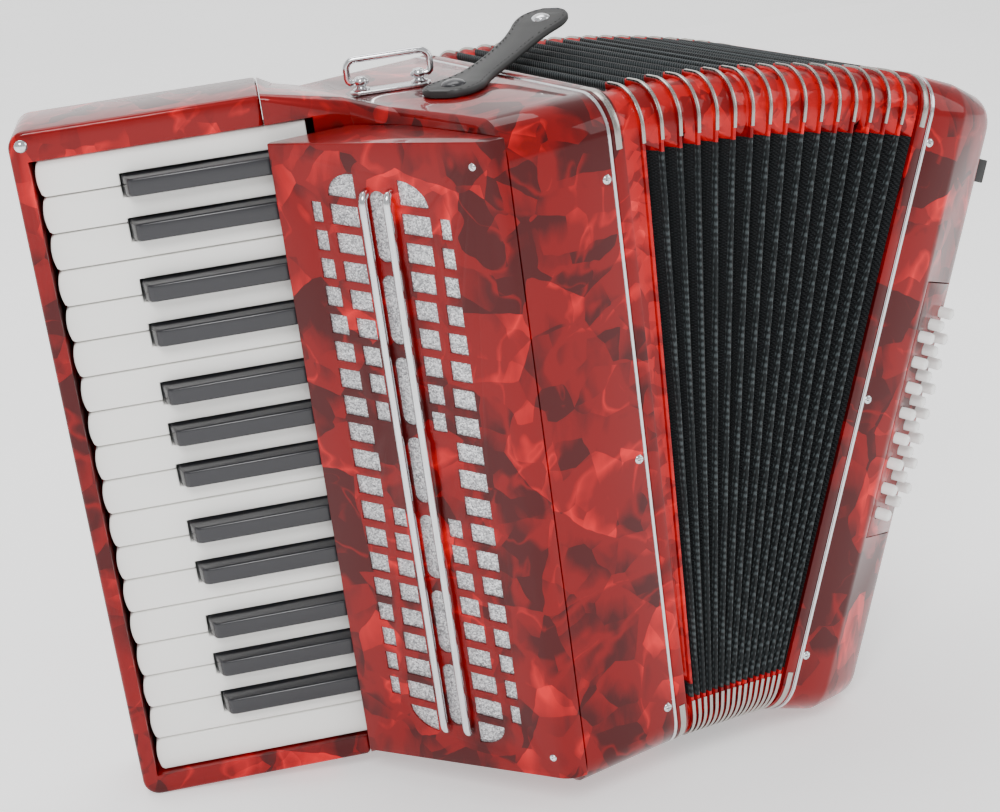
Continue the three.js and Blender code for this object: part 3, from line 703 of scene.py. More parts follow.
def soften(target: Object, width: float, segments: int = 3, angle: float = 40.0) -> Object:
    """Round the sharp edges of an object.

    Args:
        target: the object.
        width: how far the rounding reaches, in millimetres.
        segments: how many steps it has.
        angle: only edges sharper than this are rounded, in degrees.

    Returns:
        The object, with the rounding in its mesh.
    """
    modifier = target.modifiers.new("soften", "BEVEL")
    modifier.width = width * MM
    modifier.segments = segments
    modifier.limit_method = "ANGLE"
    modifier.angle_limit = math.radians(angle)
    modifier.use_clamp_overlap = True
    return baked(target, 30.0)


def hand_over(target: Object, body: str, slot: str, *nodes: str) -> Object:
    """Let a finished object ride on its body and hide the CAD nodes that it stands for."""
    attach(target, body)
    if nodes:
        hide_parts(*nodes)
    LOG.info("%s: %d faces on %s", target.name, len(target.data.polygons), body)
    return target


def edging(name: str, axes: Axes, start: float, profile: Sequence[Point]) -> Object:
    """The thin bright strip where a casing meets its bellows frame, from a profile of lift and place."""
    piece = Piece(name)
    rings = []
    for out, x in profile:
        outline = rounded(-out, S.depth + out, -out, S.height + out, S.corner + out, 14)
        rings.append([axes.at(start + x, y, z) for y, z in outline])
    piece.loft(rings, Finish.CHROME, closed=True)
    return piece.object(50.0)


# --------------------------------------------------------------------------- geometry node trees
class Pattern(Tree):
    """A small writer for geometry node trees with named inputs."""

    def __init__(self, name: str, inputs: dict[str, str]) -> None:
        """Start a tree with a geometry input and the named ones, each given with its socket type."""
        self.tree = bpy.data.node_groups.new(name, "GeometryNodeTree")
        face = self.tree.interface
        face.new_socket("Geometry", in_out="INPUT", socket_type="NodeSocketGeometry")
        self.sockets = {label: face.new_socket(label, in_out="INPUT", socket_type=kind)
                        for label, kind in inputs.items()}
        face.new_socket("Geometry", in_out="OUTPUT", socket_type="NodeSocketGeometry")
        self.input = self.tree.nodes.new("NodeGroupInput").outputs
        self.output = self.tree.nodes.new("NodeGroupOutput").inputs

    def end(self, geometry: Socket, finish: Finish) -> None:
        """Close the tree with real geometry and its material."""
        real = self.node("GeometryNodeRealizeInstances", {0: geometry})
        dressed = self.node("GeometryNodeSetMaterial",
                            {"Geometry": real.outputs[0], "Material": finish.material()})
        self.tree.links.new(dressed.outputs[0], self.output[0])

    def run(self, host: Object, **values: float) -> Object:
        """Run the tree on a host object and keep the plain mesh that it makes."""
        modifier = host.modifiers.new("pattern", "NODES")
        modifier.node_group = self.tree
        for label, value in values.items():
            modifier[self.sockets[label].identifier] = value
        return baked(host)


def seeds(name: str, places: Sequence[Vector], facing: Sequence[Vector],
          along: Sequence[Vector] | None = None) -> Object:
    """A cloud of points that each know which way to face and which way to run."""
    data = bpy.data.meshes.new(name)
    data.from_pydata([tuple(p) for p in places], [], [])
    for label, values in (("facing", facing), ("along", along or facing)):
        attribute = data.attributes.new(label, "FLOAT_VECTOR", "POINT")
        attribute.data.foreach_set("vector", [c for v in values for c in v])
    made = bpy.data.objects.new(name, data)
    bpy.context.scene.collection.objects.link(made)
    return made


def screw_tree() -> Pattern:
    """Domed cross-head screws, one on each point, facing the way that the point says."""
    p = Pattern("screws", {"Radius": "NodeSocketFloat"})
    dome = p.node("GeometryNodeMeshUVSphere", {"Segments": 20, "Rings": 10, "Radius": 1.0})
    flat = p.node("GeometryNodeTransform", {"Geometry": dome.outputs[0], "Scale": (1.0, 1.0, 0.45)})
    bars = []
    for size in ((1.25, 0.22, 0.5), (0.22, 1.25, 0.5)):
        cube = p.node("GeometryNodeMeshCube", {"Size": size})
        bars.append(p.node("GeometryNodeTransform",
                           {"Geometry": cube.outputs[0], "Translation": (0, 0, 0.5)}))
    cross = p.node("GeometryNodeMeshBoolean", operation="DIFFERENCE")
    p.tree.links.new(flat.outputs[0], cross.inputs["Mesh 1"])
    for bar in bars:
        p.tree.links.new(bar.outputs[0], cross.inputs["Mesh 2"])
    facing = p.node("GeometryNodeInputNamedAttribute", {"Name": "facing"}, data_type="FLOAT_VECTOR")
    turn = p.node("FunctionNodeAlignRotationToVector", {"Vector": facing.outputs[0]}, axis="Z")
    heads = p.node("GeometryNodeInstanceOnPoints", {
        "Points": p.input["Geometry"], "Instance": cross.outputs[0],
        "Rotation": turn.outputs[0], "Scale": p.input["Radius"]})
    p.end(heads.outputs[0], Finish.CHROME)
    return p


def stitch_tree() -> Pattern:
    """Short raised stitches, one on each point, lying along the seam."""
    p = Pattern("stitches", {"Length": "NodeSocketFloat", "Width": "NodeSocketFloat"})
    bead = p.node("GeometryNodeMeshUVSphere", {"Segments": 8, "Rings": 6, "Radius": 0.5})
    facing = p.node("GeometryNodeInputNamedAttribute", {"Name": "facing"}, data_type="FLOAT_VECTOR")
    along = p.node("GeometryNodeInputNamedAttribute", {"Name": "along"}, data_type="FLOAT_VECTOR")
    up = p.node("FunctionNodeAlignRotationToVector", {"Vector": facing.outputs[0]}, axis="Z")
    turn = p.node("FunctionNodeAlignRotationToVector",
                  {"Rotation": up.outputs[0], "Vector": along.outputs[0]}, axis="X", pivot_axis="Z")
    size = p.node("ShaderNodeCombineXYZ",
                  {0: p.input["Length"], 1: p.input["Width"], 2: p.input["Width"]})
    beads = p.node("GeometryNodeInstanceOnPoints", {
        "Points": p.input["Geometry"], "Instance": bead.outputs[0],
        "Rotation": turn.outputs[0], "Scale": size.outputs[0]})
    p.end(beads.outputs[0], Finish.THREAD)
    return p


def window_tree() -> Pattern:
    """Cutters for one column of grille windows, whose width runs from the ends to mid height."""
    p = Pattern("grille_windows", {
        "Count": "NodeSocketInt", "Pitch": "NodeSocketFloat", "Height": "NodeSocketFloat",
        "End width": "NodeSocketFloat", "Middle width": "NodeSocketFloat", "Skip": "NodeSocketFloat",
        "Side": "NodeSocketFloat", "Thickness": "NodeSocketFloat"})
    span = p.math("MULTIPLY", p.math("SUBTRACT", p.input["Count"], 1.0), p.input["Pitch"])
    half = p.math("MULTIPLY", span, 0.5)
    start = p.node("ShaderNodeCombineXYZ", {1: p.math("MULTIPLY", half, -1.0)})
    step = p.node("ShaderNodeCombineXYZ", {1: p.input["Pitch"]})
    line = p.node("GeometryNodeMeshLine", {
        "Count": p.input["Count"], "Start Location": start.outputs[0], "Offset": step.outputs[0]})
    where = p.node("ShaderNodeSeparateXYZ", {0: p.node("GeometryNodeInputPosition").outputs[0]})
    far = p.math("ABSOLUTE", where.outputs[1])
    skipped = p.node("FunctionNodeCompare", {0: far, 1: p.input["Skip"]},
                     data_type="FLOAT", operation="LESS_THAN")
    kept = p.node("GeometryNodeDeleteGeometry",
                  {"Geometry": line.outputs[0], "Selection": skipped.outputs[0]})
    width = p.node("ShaderNodeMapRange", {
        "Value": far, "From Min": 0.0, "From Max": half,
        "To Min": p.input["Middle width"], "To Max": p.input["End width"]})
    inward = p.math("MULTIPLY", p.math("MULTIPLY", width.outputs[0], p.input["Side"]), 0.5)
    moved = p.node("GeometryNodeSetPosition", {
        "Geometry": kept.outputs[0],
        "Offset": p.node("ShaderNodeCombineXYZ", {0: inward}).outputs[0]})
    size = p.node("ShaderNodeCombineXYZ",
                  {0: width.outputs[0], 1: p.input["Height"], 2: p.input["Thickness"]})
    cube = p.node("GeometryNodeMeshCube", {"Size": (1.0, 1.0, 1.0)})
    captured = p.node("GeometryNodeInstanceOnPoints", {
        "Points": moved.outputs[0], "Instance": cube.outputs[0], "Scale": size.outputs[0]})
    p.end(captured.outputs[0], Finish.RED)
    return p


# --------------------------------------------------------------------------- small fittings
def station_axes(axes: Axes, x: float, y: float, z: float, facing: Sequence[float],
                 up: Sequence[float] = (0, 0, 1)) -> Axes:
    """Axes at a local point with the third axis facing out of the surface."""
    out = axes.towards(*facing).normalized()
    first = axes.towards(*up).cross(out).normalized()
    return Axes(axes.at(x, y, z), first, out.cross(first), out)


@dataclass
class Fittings:
    """Small hardware that repeats, gathered by body and then made by one tree."""

    name: str
    body: str
    slot: str
    places: list[Vector] = field(default_factory=list)
    facing: list[Vector] = field(default_factory=list)
    along: list[Vector] = field(default_factory=list)

    def add(self, axes: Axes, along: Vector | None = None) -> None:
        """Put one more on the origin of the axes, facing their third axis."""
        self.places.append(axes.origin)
        self.facing.append(axes.z)
        self.along.append(along or axes.x)

    def screws(self, radius: float) -> Object:
        """Make every one a cross-head screw of this radius in millimetres."""
        host = seeds(self.name, self.places, self.facing, self.along)
        return hand_over(screw_tree().run(host, Radius=radius * MM), self.body, self.slot)

    def stitches(self, length: float, width: float) -> Object:
        """Make every one a stitch of this length and width in millimetres."""
        host = seeds(self.name, self.places, self.facing, self.along)
        return hand_over(stitch_tree().run(host, Length=length * MM, Width=width * MM), self.body,
                         self.slot)


# --------------------------------------------------------------------------- treble shell
@dataclass
class TrebleShell:
    """The treble casing, the tray that holds the keys, and their trim."""

    frame_bottom: float = 2.0
    frame_left: float = -10.0
    frame_face: float = 4.0
    frame_back: float = -48.0
    casing_start: float = 114.0
    corner_steps: int = 12

    @property
    def frame_top(self) -> float:
        """Height of the tray's upper end."""
        return S.key_top + 16.0

    def ring(self, front: Point, back: Point, low: float, high: float, radius: float) -> Ring:
        """A rounded upright section between a front and a back point of the plan."""
        span = math.hypot(back[0] - front[0], back[1] - front[1])
        ux, uy = (back[0] - front[0]) / span, (back[1] - front[1]) / span
        outline = rounded(0, span, low, high, radius, self.corner_steps)
        return [TREBLE.at(front[0] + ux * a, front[1] + uy * a, z) for a, z in outline]

    def sections(self) -> list[tuple[float, ...]]:
        """Front and back points, lower and upper ends and corner radius, from the bellows to the keys."""
        d, w, h = S.depth, S.front_wall, S.height
        n = w + 2.4
        rise = self.frame_top - h
        last_front = key_plan(self.casing_start, self.frame_face)
        last_back = key_plan(self.casing_start, self.frame_back)
        return [
            (0.0, 0.0, 0.0, d, 0.0, h, S.corner),
            (-w, 0.0, -w, d, 0.0, h, S.corner),
            (-n, 0.075 * d, -n - 1, d - 0.5, 0.0, h, S.corner),
            (-n - 11, 0.35 * d, -n - 14, d - 4, 0.0, h, 16.0),
            (-n - 27, 0.49 * d, -n - 33, 0.92 * d, 0.5, h + 0.4 * rise, 9.0),
            (*last_front, *last_back, self.frame_bottom, self.frame_top, 3.5),
        ]

    def casing(self) -> Object:
        """The shell from the bellows to the keyboard, open where the keys run into it."""
        piece = Piece("treble_shell")
        rings = [self.ring((a, b), (c, e), low, high, r) for a, b, c, e, low, high, r in self.sections()]
        piece.loft(rings, Finish.RED)
        shell = soften(piece.object(), 0.7, 2, 50.0)
        room = Piece("room").box((-52, 12, 14), (9, S.depth - 12, S.height - 14), TREBLE,
                                 Finish.SHADOW).object()
        pocket = Piece("pocket").box((104, S.key_bottom - 0.6, -25), (138, S.key_top + 0.6, 15), KEYS,
                                     Finish.SHADOW).object()
        return cut_away(shell, room, pocket)

    def tray(self) -> Object:
        """The keyboard tray, with rounded ends and a well for the keys."""
        r = 9.0
        outline = [(self.casing_start - S.gap, self.frame_bottom),
                   (self.casing_start - S.gap, self.frame_top)]
        for cx, cy, start in ((self.frame_left + r, self.frame_top - r, 90),
                              (self.frame_left + r, self.frame_bottom + r, 180)):
            for i in range(9):
                a = math.radians(start + 90 * i / 8)
                outline.append((cx + r * math.cos(a), cy + r * math.sin(a)))
        piece = Piece("keyboard_tray").prism(outline, self.frame_back, self.frame_face, KEYS, Finish.RED)
        tray = soften(piece.object(), 2.4, 4, 50.0)
        well = Piece("well").box((-1.6, S.key_bottom - 0.6, -25), (119, S.key_top + 0.6, 10), KEYS,
                                 Finish.SHADOW).object()
        return soften(cut_away(tray, well), 0.35, 2, 60.0)

    def fittings(self) -> Fittings:
        """The screws of the front wall and of the back."""
        screws = Fittings("treble_screws", "treble", "chrome")
        for z in (29.0, 171.0, 317.0):
            screws.add(station_axes(TREBLE, -5.2, 0.05, z, (0, -1, 0)))
        for z in (45.0, S.height - 45.0):
            screws.add(station_axes(TREBLE, -5.2, S.depth - 0.05, z, (0, 1, 0)))
        return screws

    def stud(self) -> Object:
        """The small domed stud on the upper left corner of the tray."""
        axes = station_axes(KEYS, -3.5, self.frame_top - 7.0, self.frame_face - 0.3, (0, 0, 1), (0, 1, 0))
        profile = [(0, -1.0), (3.4, -1.0), (3.4, 0.3), (3.0, 0.9), (1.9, 1.7), (0.9, 2.05), (0, 2.15)]
        return Piece("tray_stud").lathe(profile, axes, Finish.CHROME).object()

    def build(self) -> None:
        """Make every piece of the shell."""
        hand_over(self.casing(), "treble", "red_celluloid", "treble_casing")
        hand_over(self.tray(), "treble", "red_celluloid", "keyboard_frame")
        profile = ((-0.05, -0.12), (0.0, -0.6), (0.35, -0.6), (0.35, -2.0), (-0.05, -2.2), (-1.4, -1.2))
        hand_over(edging("treble_edging", TREBLE, 0.0, profile), "treble", "chrome")
        hand_over(self.stud(), "treble", "chrome")
        self.fittings().screws(2.5)


# --------------------------------------------------------------------------- keyboard
@dataclass(frozen=True)
class Key:
    """One key: its note, and where it lies up the keyboard."""

    name: str
    low: float
    high: float


@dataclass
class Keyboard:
    """Eighteen white and twelve black keys, lowest note at the top."""

    gap: float = 0.8
    thick: float = 16.0
    bulge: float = 1.7
    tail: float = 134.0
    black_width: float = 10.6
    black_front: float = 40.5
    black_slope: float = 2.6
    black_height: float = 9.2
    black_end: float = 114.5
    shifts: dict[str, float] = field(default_factory=lambda: {"g": 0.2, "a": -3.8, "c": 2.4, "d": -2.4,
                                                              "f": 3.8})

    def keys(self) -> tuple[list[Key], list[Key]]:
        """The white keys and the black ones."""
        whites, blacks, octave = [], [], 3
        for i in range(S.white_count):
            note = "gabcdef"[i % 7]
            octave += note == "c"
            top = S.key_top - i * S.key_pitch
            whites.append(Key(f"key_{note}{octave}", top - S.key_pitch, top))
            if note in self.shifts and i < S.white_count - 1:
                middle = top - S.key_pitch + self.shifts[note]
                half = self.black_width / 2
                blacks.append(Key(f"key_{note}{octave}_sharp", middle - half, middle + half))
        return whites, blacks

    def axle_hole(self) -> Object:
        """The bore that every key has for the axle."""
        outline = [(127 + 1.8 * math.cos(a), -8 + 1.8 * math.sin(a))
                   for a in (2 * math.pi * i / 16 for i in range(16))]
        piece = Piece("axle_hole")
        rings = [[KEYS.at(x, y, z) for x, z in outline] for y in (0.0, S.height + 20.0)]
        return piece.loft(rings, Finish.WHITE).object()

    def white(self, key: Key, blacks: Sequence[Key]) -> Object:
        """A white key with a rounded front lip and the notches beside its black neighbours."""
        low, high = key.low + self.gap / 2, key.high - self.gap / 2
        tail_low, tail_high = low, high
        for black in blacks:
            middle = (black.low + black.high) / 2
            if abs(middle - key.low) < S.key_pitch / 2:
                tail_low = max(tail_low, black.high + self.gap)
            if abs(middle - key.high) < S.key_pitch / 2:
                tail_high = min(tail_high, black.low - self.gap)
        notch = self.black_front - self.gap
        steps = 16
        corner = 1.1
        outline: list[Point] = []
        for i in range(steps + 1):
            t = i / steps
            across = 2 * t - 1
            edge = max(0.0, abs(across) - (1 - 2 * corner / (high - low))) / (2 * corner / (high - low))
            turned = corner * (1 - math.sqrt(max(0.0, 1 - edge * edge)))
            outline.append((self.bulge * across * across + turned, high + (low - high) * t))
        outline.append((notch, low))
        if tail_low > low:
            outline.append((notch, tail_low))
        outline += [(self.tail, tail_low), (self.tail, tail_high)]
        if tail_high < high:
            outline.append((notch, tail_high))
        outline.append((notch, high))
        piece = Piece(f"{key.name}_cap").prism(outline, -self.thick, 0.0, KEYS, Finish.WHITE)
        return soften(piece.object(), 0.75, 4, 50.0)

    def black(self, key: Key) -> Object:
        """A black key with a sloping nose and well rounded edges."""
        profile = [
            (self.black_front, -self.thick), (self.tail, -self.thick), (self.tail, 0.0),
            (self.black_end + 3, 0.0), (self.black_end, self.black_height),
            (self.black_front + self.black_slope + 3.6, self.black_height),
            (self.black_front + self.black_slope + 1.2, self.black_height - 0.7),
            (self.black_front + self.black_slope, self.black_height - 2.2), (self.black_front, 0.0)]
        piece = Piece(f"{key.name}_cap")
        rings = []
        for y, inward in ((key.low, 0.7), (key.high, -0.7)):
            rings.append([KEYS.at(x, y + (inward if z > 1 else 0.0), z) for x, z in profile])
        piece.loft(rings, Finish.BLACK)
        return soften(piece.object(), 1.3, 4, 25.0)

    def build(self) -> None:
        """Make every key, each on its own body."""
        whites, blacks = self.keys()
        for key in whites:
            hand_over(cut_away(self.white(key, blacks), self.axle_hole()), key.name, "key_white", key.name)
        for key in blacks:
            hand_over(cut_away(self.black(key), self.axle_hole()), key.name, "key_black", key.name)


# --------------------------------------------------------------------------- grille
_GRILLE_LEFT = key_plan(S.visible_key + 0.5, 15.0)
_GRILLE_CORNER = (-67.0, 0.0)
_GRILLE_SPAN = (_GRILLE_CORNER[0] - _GRILLE_LEFT[0], _GRILLE_CORNER[1] - _GRILLE_LEFT[1])
GRILLE = TREBLE.local((*_GRILLE_LEFT, 0.0), (*_GRILLE_SPAN, 0.0), (0.0, 0.0, 1.0))


@dataclass
class Grille:
    """The red cover beside the keys, with its cut-outs, silver cloth and two bright bars."""

    wall: float = 1.1
    low: float = 11.0
    corner: float = 15.0
    middle: float = 180.5
    centre: float = 58.0
    pitch: float = 14.55
    rows: int = 19
    window: float = 10.4
    outer_edge: float = 38.0
    inner_edge: float = 12.0
    wide: float = 15.5
    narrow: float = 5.5
    slant: float = 0.12

    @property
    def high(self) -> float:
        """Height of the cover's upper edge."""
        return S.height - 7.0

    @property
    def width(self) -> float:
        """Width of the cover's flat face."""
        return math.hypot(*_GRILLE_SPAN)

    def plan(self) -> list[Point]:
        """The cover's outline seen from above, in the treble plan."""
        turn = math.acos(_GRILLE_SPAN[0] / self.width)
        run = self.corner * math.tan(turn / 2)
        cx, cy = _GRILLE_CORNER[0] + run, self.corner
        points = [_GRILLE_LEFT]
        for i in range(15):
            a = -math.pi / 2 - turn * (1 - i / 14)
            points.append((cx + self.corner * math.cos(a), cy + self.corner * math.sin(a)))
        d, n, c = S.depth, S.front_wall + 2.4, 0.8
        points += [(-S.front_wall - 0.6, 0.0), (-n - c, 0.075 * d - c), (-n - 11 - c, 0.35 * d - c),
                   (-n - 27 - c, 0.49 * d - c), key_plan(S.visible_key + 2, 12.0)]
        return points

    def hollow(self) -> Object:
        """The space behind the cover's face."""
        d, n = S.depth, S.front_wall + 2.4
        across = (_GRILLE_SPAN[0] / self.width, _GRILLE_SPAN[1] / self.width)
        start, end = ((_GRILLE_LEFT[0] + across[0] * a - across[1] * self.wall,
                       _GRILLE_LEFT[1] + across[1] * a + across[0] * self.wall)
                      for a in (6.0, self.width - 10.0))
        points = [start, end, (-S.front_wall - 6, 12.0), (-S.front_wall - 6, 0.2 * d),
                  (-n + 20, 0.49 * d + 20), (start[0] + 5, start[1] + 20)]
        return Piece("hollow").prism(points, self.low + self.wall, self.high - self.wall, TREBLE,
                                     Finish.RED).object()

    def column(self, edge: float, side: float, end: float, middle: float, skip: float,
               count: int) -> Object:
        """Cutters for one column of windows that starts at an edge and widens to a side."""
        host = seeds("windows", [Vector((0, 0, 0))], [Vector((0, 0, 1))])
        window_tree().run(host, **{
            "Count": count, "Pitch": self.pitch, "Height": self.window, "End width": end,
            "Middle width": middle, "Skip": skip, "Side": side, "Thickness": 20.0})
        place = Matrix.Translation((self.centre + edge, self.middle, 0.0))
        host.data.transform(GRILLE.matrix() @ self.slanted() @ place)
        return host

    def slanted(self) -> Matrix:
        """A shear about the cover's middle line, so that the rows fall away to one side."""
        shear = Matrix.Identity(4)
        shear[1][0] = -self.slant
        shear[1][3] = self.slant * self.centre
        return shear

    def slots(self) -> list[Object]:
        """Cutters for the long middle slots and the four domes at the ends."""
        tools = []
        for i in range(7):
            z = self.middle + (i - 3) * 42.6
            outline = rounded(self.centre - 4.5, self.centre + 4.5, z - 18, z + 18, 4.49, 8)
            tools.append(Piece("slot").prism(outline, -10, 10, GRILLE, Finish.RED).object())
        for side in (-1, 1):
            for end in (-1, 1):
                base = self.middle + end * (9.5 * self.pitch + 2)
                inner = self.centre + side * self.inner_edge
                outline = [(inner, base)]
                for i in range(11):
                    a = math.radians(90 * i / 10)
                    outline.append((inner + side * 15.5 * math.cos(a), base + end * 12.5 * math.sin(a)))
                outline = [(x, y - self.slant * (x - self.centre)) for x, y in outline]
                tools.append(Piece("dome").prism(outline, -10, 10, GRILLE, Finish.RED).object())
        return tools

    def cover(self) -> Object:
        """The cover itself."""
        piece = Piece("grille_front").prism(self.plan(), self.low, self.high, TREBLE, Finish.RED)
        front = soften(piece.object(), 3.4, 5, 60.0)
        tools = [self.hollow(), *self.slots()]
        for side in (-1.0, 1.0):
            tools.append(self.column(side * self.outer_edge, -side, self.narrow, self.wide, -1.0,
                                     self.rows))
            tools.append(self.column(side * self.inner_edge, side, self.wide, self.narrow, 1.6 * self.pitch,
                                     self.rows))
        return soften(cut_away(front, *tools), 0.45, 2, 60.0)

    def bar(self, side: int) -> Object:
        """One of the two bright bars, bent in to the cover at both ends."""
        across = self.centre + 0.7 + side * 6.7
        half, lift, bend = 149.0, 4.0, 5.0
        path = [GRILLE.at(across, self.middle - 2 - half + 2.2, -0.2)]
        for i in range(9):
            a = math.radians(90 * i / 8)
            path.append(GRILLE.at(across, self.middle - 2 - half + 2.2 + bend * (1 - math.cos(a)),
                                  lift * math.sin(a)))
        for i in range(9):
            a = math.radians(90 - 90 * i / 8)
            path.append(GRILLE.at(across, self.middle - 2 + half - 2.2 - bend * (1 - math.cos(a)),
                                  lift * math.sin(a)))
        path.append(GRILLE.at(across, self.middle - 2 + half - 2.2, -0.2))
        return Piece("grille_bar").tube(path, 2.1, Finish.CHROME, 18).object()

    def cloth(self) -> Object:
        """The glitter cloth behind the cut-outs."""
        piece = Piece("grille_back").box((9, self.low + 8, -2.6), (self.width - 16, self.high - 8, -1.2),
                                         GRILLE, Finish.GLITTER)
        return soften(piece.object(), 0.3, 2)

    def build(self) -> None:
        """Make every piece of the grille."""
        hand_over(self.cover(), "treble", "red_celluloid", "grille_cover")
        hand_over(self.cloth(), "treble", "glitter_cloth", "grille_cloth")
        for name, side in (("left", -1), ("right", 1)):
            hand_over(self.bar(side), "treble", "chrome", f"grille_rod_{name}")
        screws = Fittings("cover_screws", "treble", "chrome")
        screws.add(station_axes(GRILLE, 112.0, self.high - 12.0, 0.05, (0, 0, 1), (0, 1, 0)))
        screws.add(station_axes(GRILLE, 112.0, self.low + 12.0, 0.05, (0, 0, 1), (0, 1, 0)))
        screws.screws(2.0)


# --------------------------------------------------------------------------- bellows
@dataclass
class Bellows:
    """Two end frames and seventeen folds, fanned between the treble and the bass body."""

    folds: int = 17
    depth: float = 13.0
    origin_x: float = 62.2
    origin_z: float = -5.5
    panel: float = 6.0
    top_panel: float = 1.5
    low_panel: float = 2.0
    gusset: float = 3.0
    corner_steps: int = 10
    chain: tuple[str, ...] = ("treble", "bellows_1", "bellows_2", "bellows_3", "bellows_4", "bass")
    bend_height: float = 0.87

    @property
    def joints(self) -> int:
        """How many joints share the fanning."""
        return len(self.chain) - 1

    @property
    def first_panel(self) -> float:
        """How far the red runs down the front beside the treble frame."""
        return S.height - 2 * S.corner - 24.0

    @staticmethod
    def blend_place(share: float) -> float:
        """Where along a blend a point has the given share of the turn."""
        return 0.5 - math.sin(math.asin(1 - 2 * share) / 3)

    @property
    def start(self) -> float:
        """Where the folds begin, past the first frame."""
        return S.frame_end

    def axes(self, fold: float) -> Axes:
        """Axes of the section at a fold number, which may lie between two ridges."""
        t = fold / self.folds
        angle = S.fan * t
        origin = TREBLE.at(self.start + (self.origin_x - self.start) * t, 0.0, self.origin_z * t)
        x = TREBLE.towards(math.cos(angle), 0.0, -math.sin(angle))
        z = TREBLE.towards(math.sin(angle), 0.0, math.cos(angle))
        return Axes(origin, x, TREBLE.y, z)

    def ring(self, fold: float, inset: float, shift: float = 0.0, steps: int | None = None) -> Ring:
        """The rounded section at a fold number, set in and pushed along its own axis."""
        axes = self.axes(fold)
        radius = max(S.corner - inset, 4.0)
        outline = rounded(inset, S.depth - inset, inset, S.height - inset, radius,
                          steps or self.corner_steps)
        return [axes.at(shift, y, z) for y, z in outline]

    def rides(self, target: Object, fold: float, slot: str, *nodes: str) -> None:
        """Put a rigid piece on a body of the chain when its fold lies on one; any other piece is only baked in
        place and does not follow the fanning.
        """
        place = min(fold * self.joints / self.folds, self.joints - 1e-4)
        index, share = int(place), place - int(place)
        if share < 1e-3:
            hand_over(target, self.chain[index], slot, *nodes)
            return
        t = self.blend_place(share)
        far = 1000.0
        middle = self.axes(fold).origin
        start = middle - self.axes(fold).x * far * t
        start + self.axes(fold).x * far
        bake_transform(target)
        if nodes:
            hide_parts(*nodes)

    def end_frame(self, axes: Axes, name: str) -> Object:
        """A red frame at one end of the bellows."""
        piece = Piece(name)
        rings = []
        steps = 14
        band = 12.0
        lip = ((0.0, S.gap), (0.0, S.gap + S.frame_thick), (band, S.gap + S.frame_thick), (band, S.gap))
        for inset, x in lip:
            outline = rounded(inset, S.depth - inset, inset, S.height - inset, S.corner - min(inset, 8.0),
                              steps)
            rings.append([axes.at(x, y, z) for y, z in outline])
        piece.loft(rings, Finish.RED, closed=True)
        return soften(piece.object(), 0.6, 2, 60.0)

    def ridge(self, number: int) -> Object:
        """The bound edge of one fold: cloth tape with red corner pieces."""
        piece = Piece(f"fold_ridge_{number}")
        half = 1.02
        profile = ((3.2, -half), (0.9, -half), (0.25, -0.72 * half), (0.0, -0.25 * half),
                   (0.0, 0.25 * half), (0.25, 0.72 * half), (0.9, half), (3.2, half))
        front = self.panel if number > 1 else self.first_panel
        axes = self.axes(number)
        outer = [self.gusseted(axes, inset, shift, front) for inset, shift in profile]
        finishes = self.gusset_finishes(Finish.TAPE)
        piece.loft(outer, Finish.TAPE, closed=True, paint=lambda i: finishes[i])
        return piece.object(60.0)

    def gusseted(self, axes: Axes, inset: float, shift: float, front: float) -> Ring:
        """A rounded section whose corners stay nearly flush, with points where the red corner pieces end.

        Args:
            axes: the axes of the section.
            inset: how far the straight sides are set in.
            shift: how far it is pushed along its own axis.
            front: how far the red runs down the front side below the upper corner.

        Returns:
            The section's points, going round once.
        """
        shallow = min(inset, self.gusset)
        d, h, r = S.depth, S.height, S.corner - shallow
        n = self.corner_steps + 1
        base = rounded(shallow, d - shallow, shallow, h - shallow, r, self.corner_steps)
        ramp = 7.0
        top, low = S.corner + self.panel, S.corner + self.low_panel
        points = [*base[:n]]
        points += [(d - shallow, low), (d - inset, low + ramp), (d - inset, h - top - ramp),
                   (d - shallow, h - top)]
        points += base[n:2 * n]
        upper = S.corner + self.top_panel
        points += [(d - upper, h - shallow), (d - upper - ramp, h - inset), (upper + ramp, h - inset),
                   (upper, h - shallow)]
        points += base[2 * n:3 * n]
        points += [(shallow, h - S.corner - front), (inset, h - S.corner - front - ramp),
                   (inset, low + ramp), (shallow, low)]
        points += base[3 * n:]
        points += [(low, shallow), (low + ramp, inset), (d - low - ramp, inset), (d - low, shallow)]
        return [axes.at(shift, y, z) for y, z in points]

    def gusset_finishes(self, straight: Finish) -> list[Finish]:
        """The finish of each step round such a section: red corners and straights of their own finish."""
        n = self.corner_steps
        return [*[Finish.RED_PANEL] * (n + 2), straight, Finish.RED_PANEL, Finish.RED_PANEL] * 4

    def bright_corner(self, fold: float, shift: float, width: float) -> list[Object]:
        """The plated corner caps over a ridge or an end frame, one on each of the four corners."""
        caps = []
        axes = self.axes(fold)
        for which, (cy, cz, begin) in enumerate((
                (S.corner, S.height - S.corner, 90), (S.depth - S.corner, S.height - S.corner, 0),
                (S.corner, S.corner, 180), (S.depth - S.corner, S.corner, 270))):
            piece = Piece(f"corner_cap_{which}")
            rings = []
            for i in range(-2, 19):
                a = math.radians(begin + min(max(i, 0), 16) * 90 / 16)
                past = (i - min(max(i, 0), 16)) * 3.5
                along_y, along_z = -math.sin(a) * past, math.cos(a) * past
                section = []
                half = width / 2
                lift = 0.42
                for radial, x in ((-1.4, -half), (lift * 0.5, -half), (lift, -half * 0.55),
                                  (lift, half * 0.55), (lift * 0.5, half), (-1.4, half)):
                    radius = S.corner + radial
                    section.append(axes.at(shift + x, cy + radius * math.cos(a) + along_y,
                                           cz + radius * math.sin(a) + along_z))
                rings.append(section)
            piece.loft(rings, Finish.SATIN)
            caps.append(piece.object(40.0))
        return caps

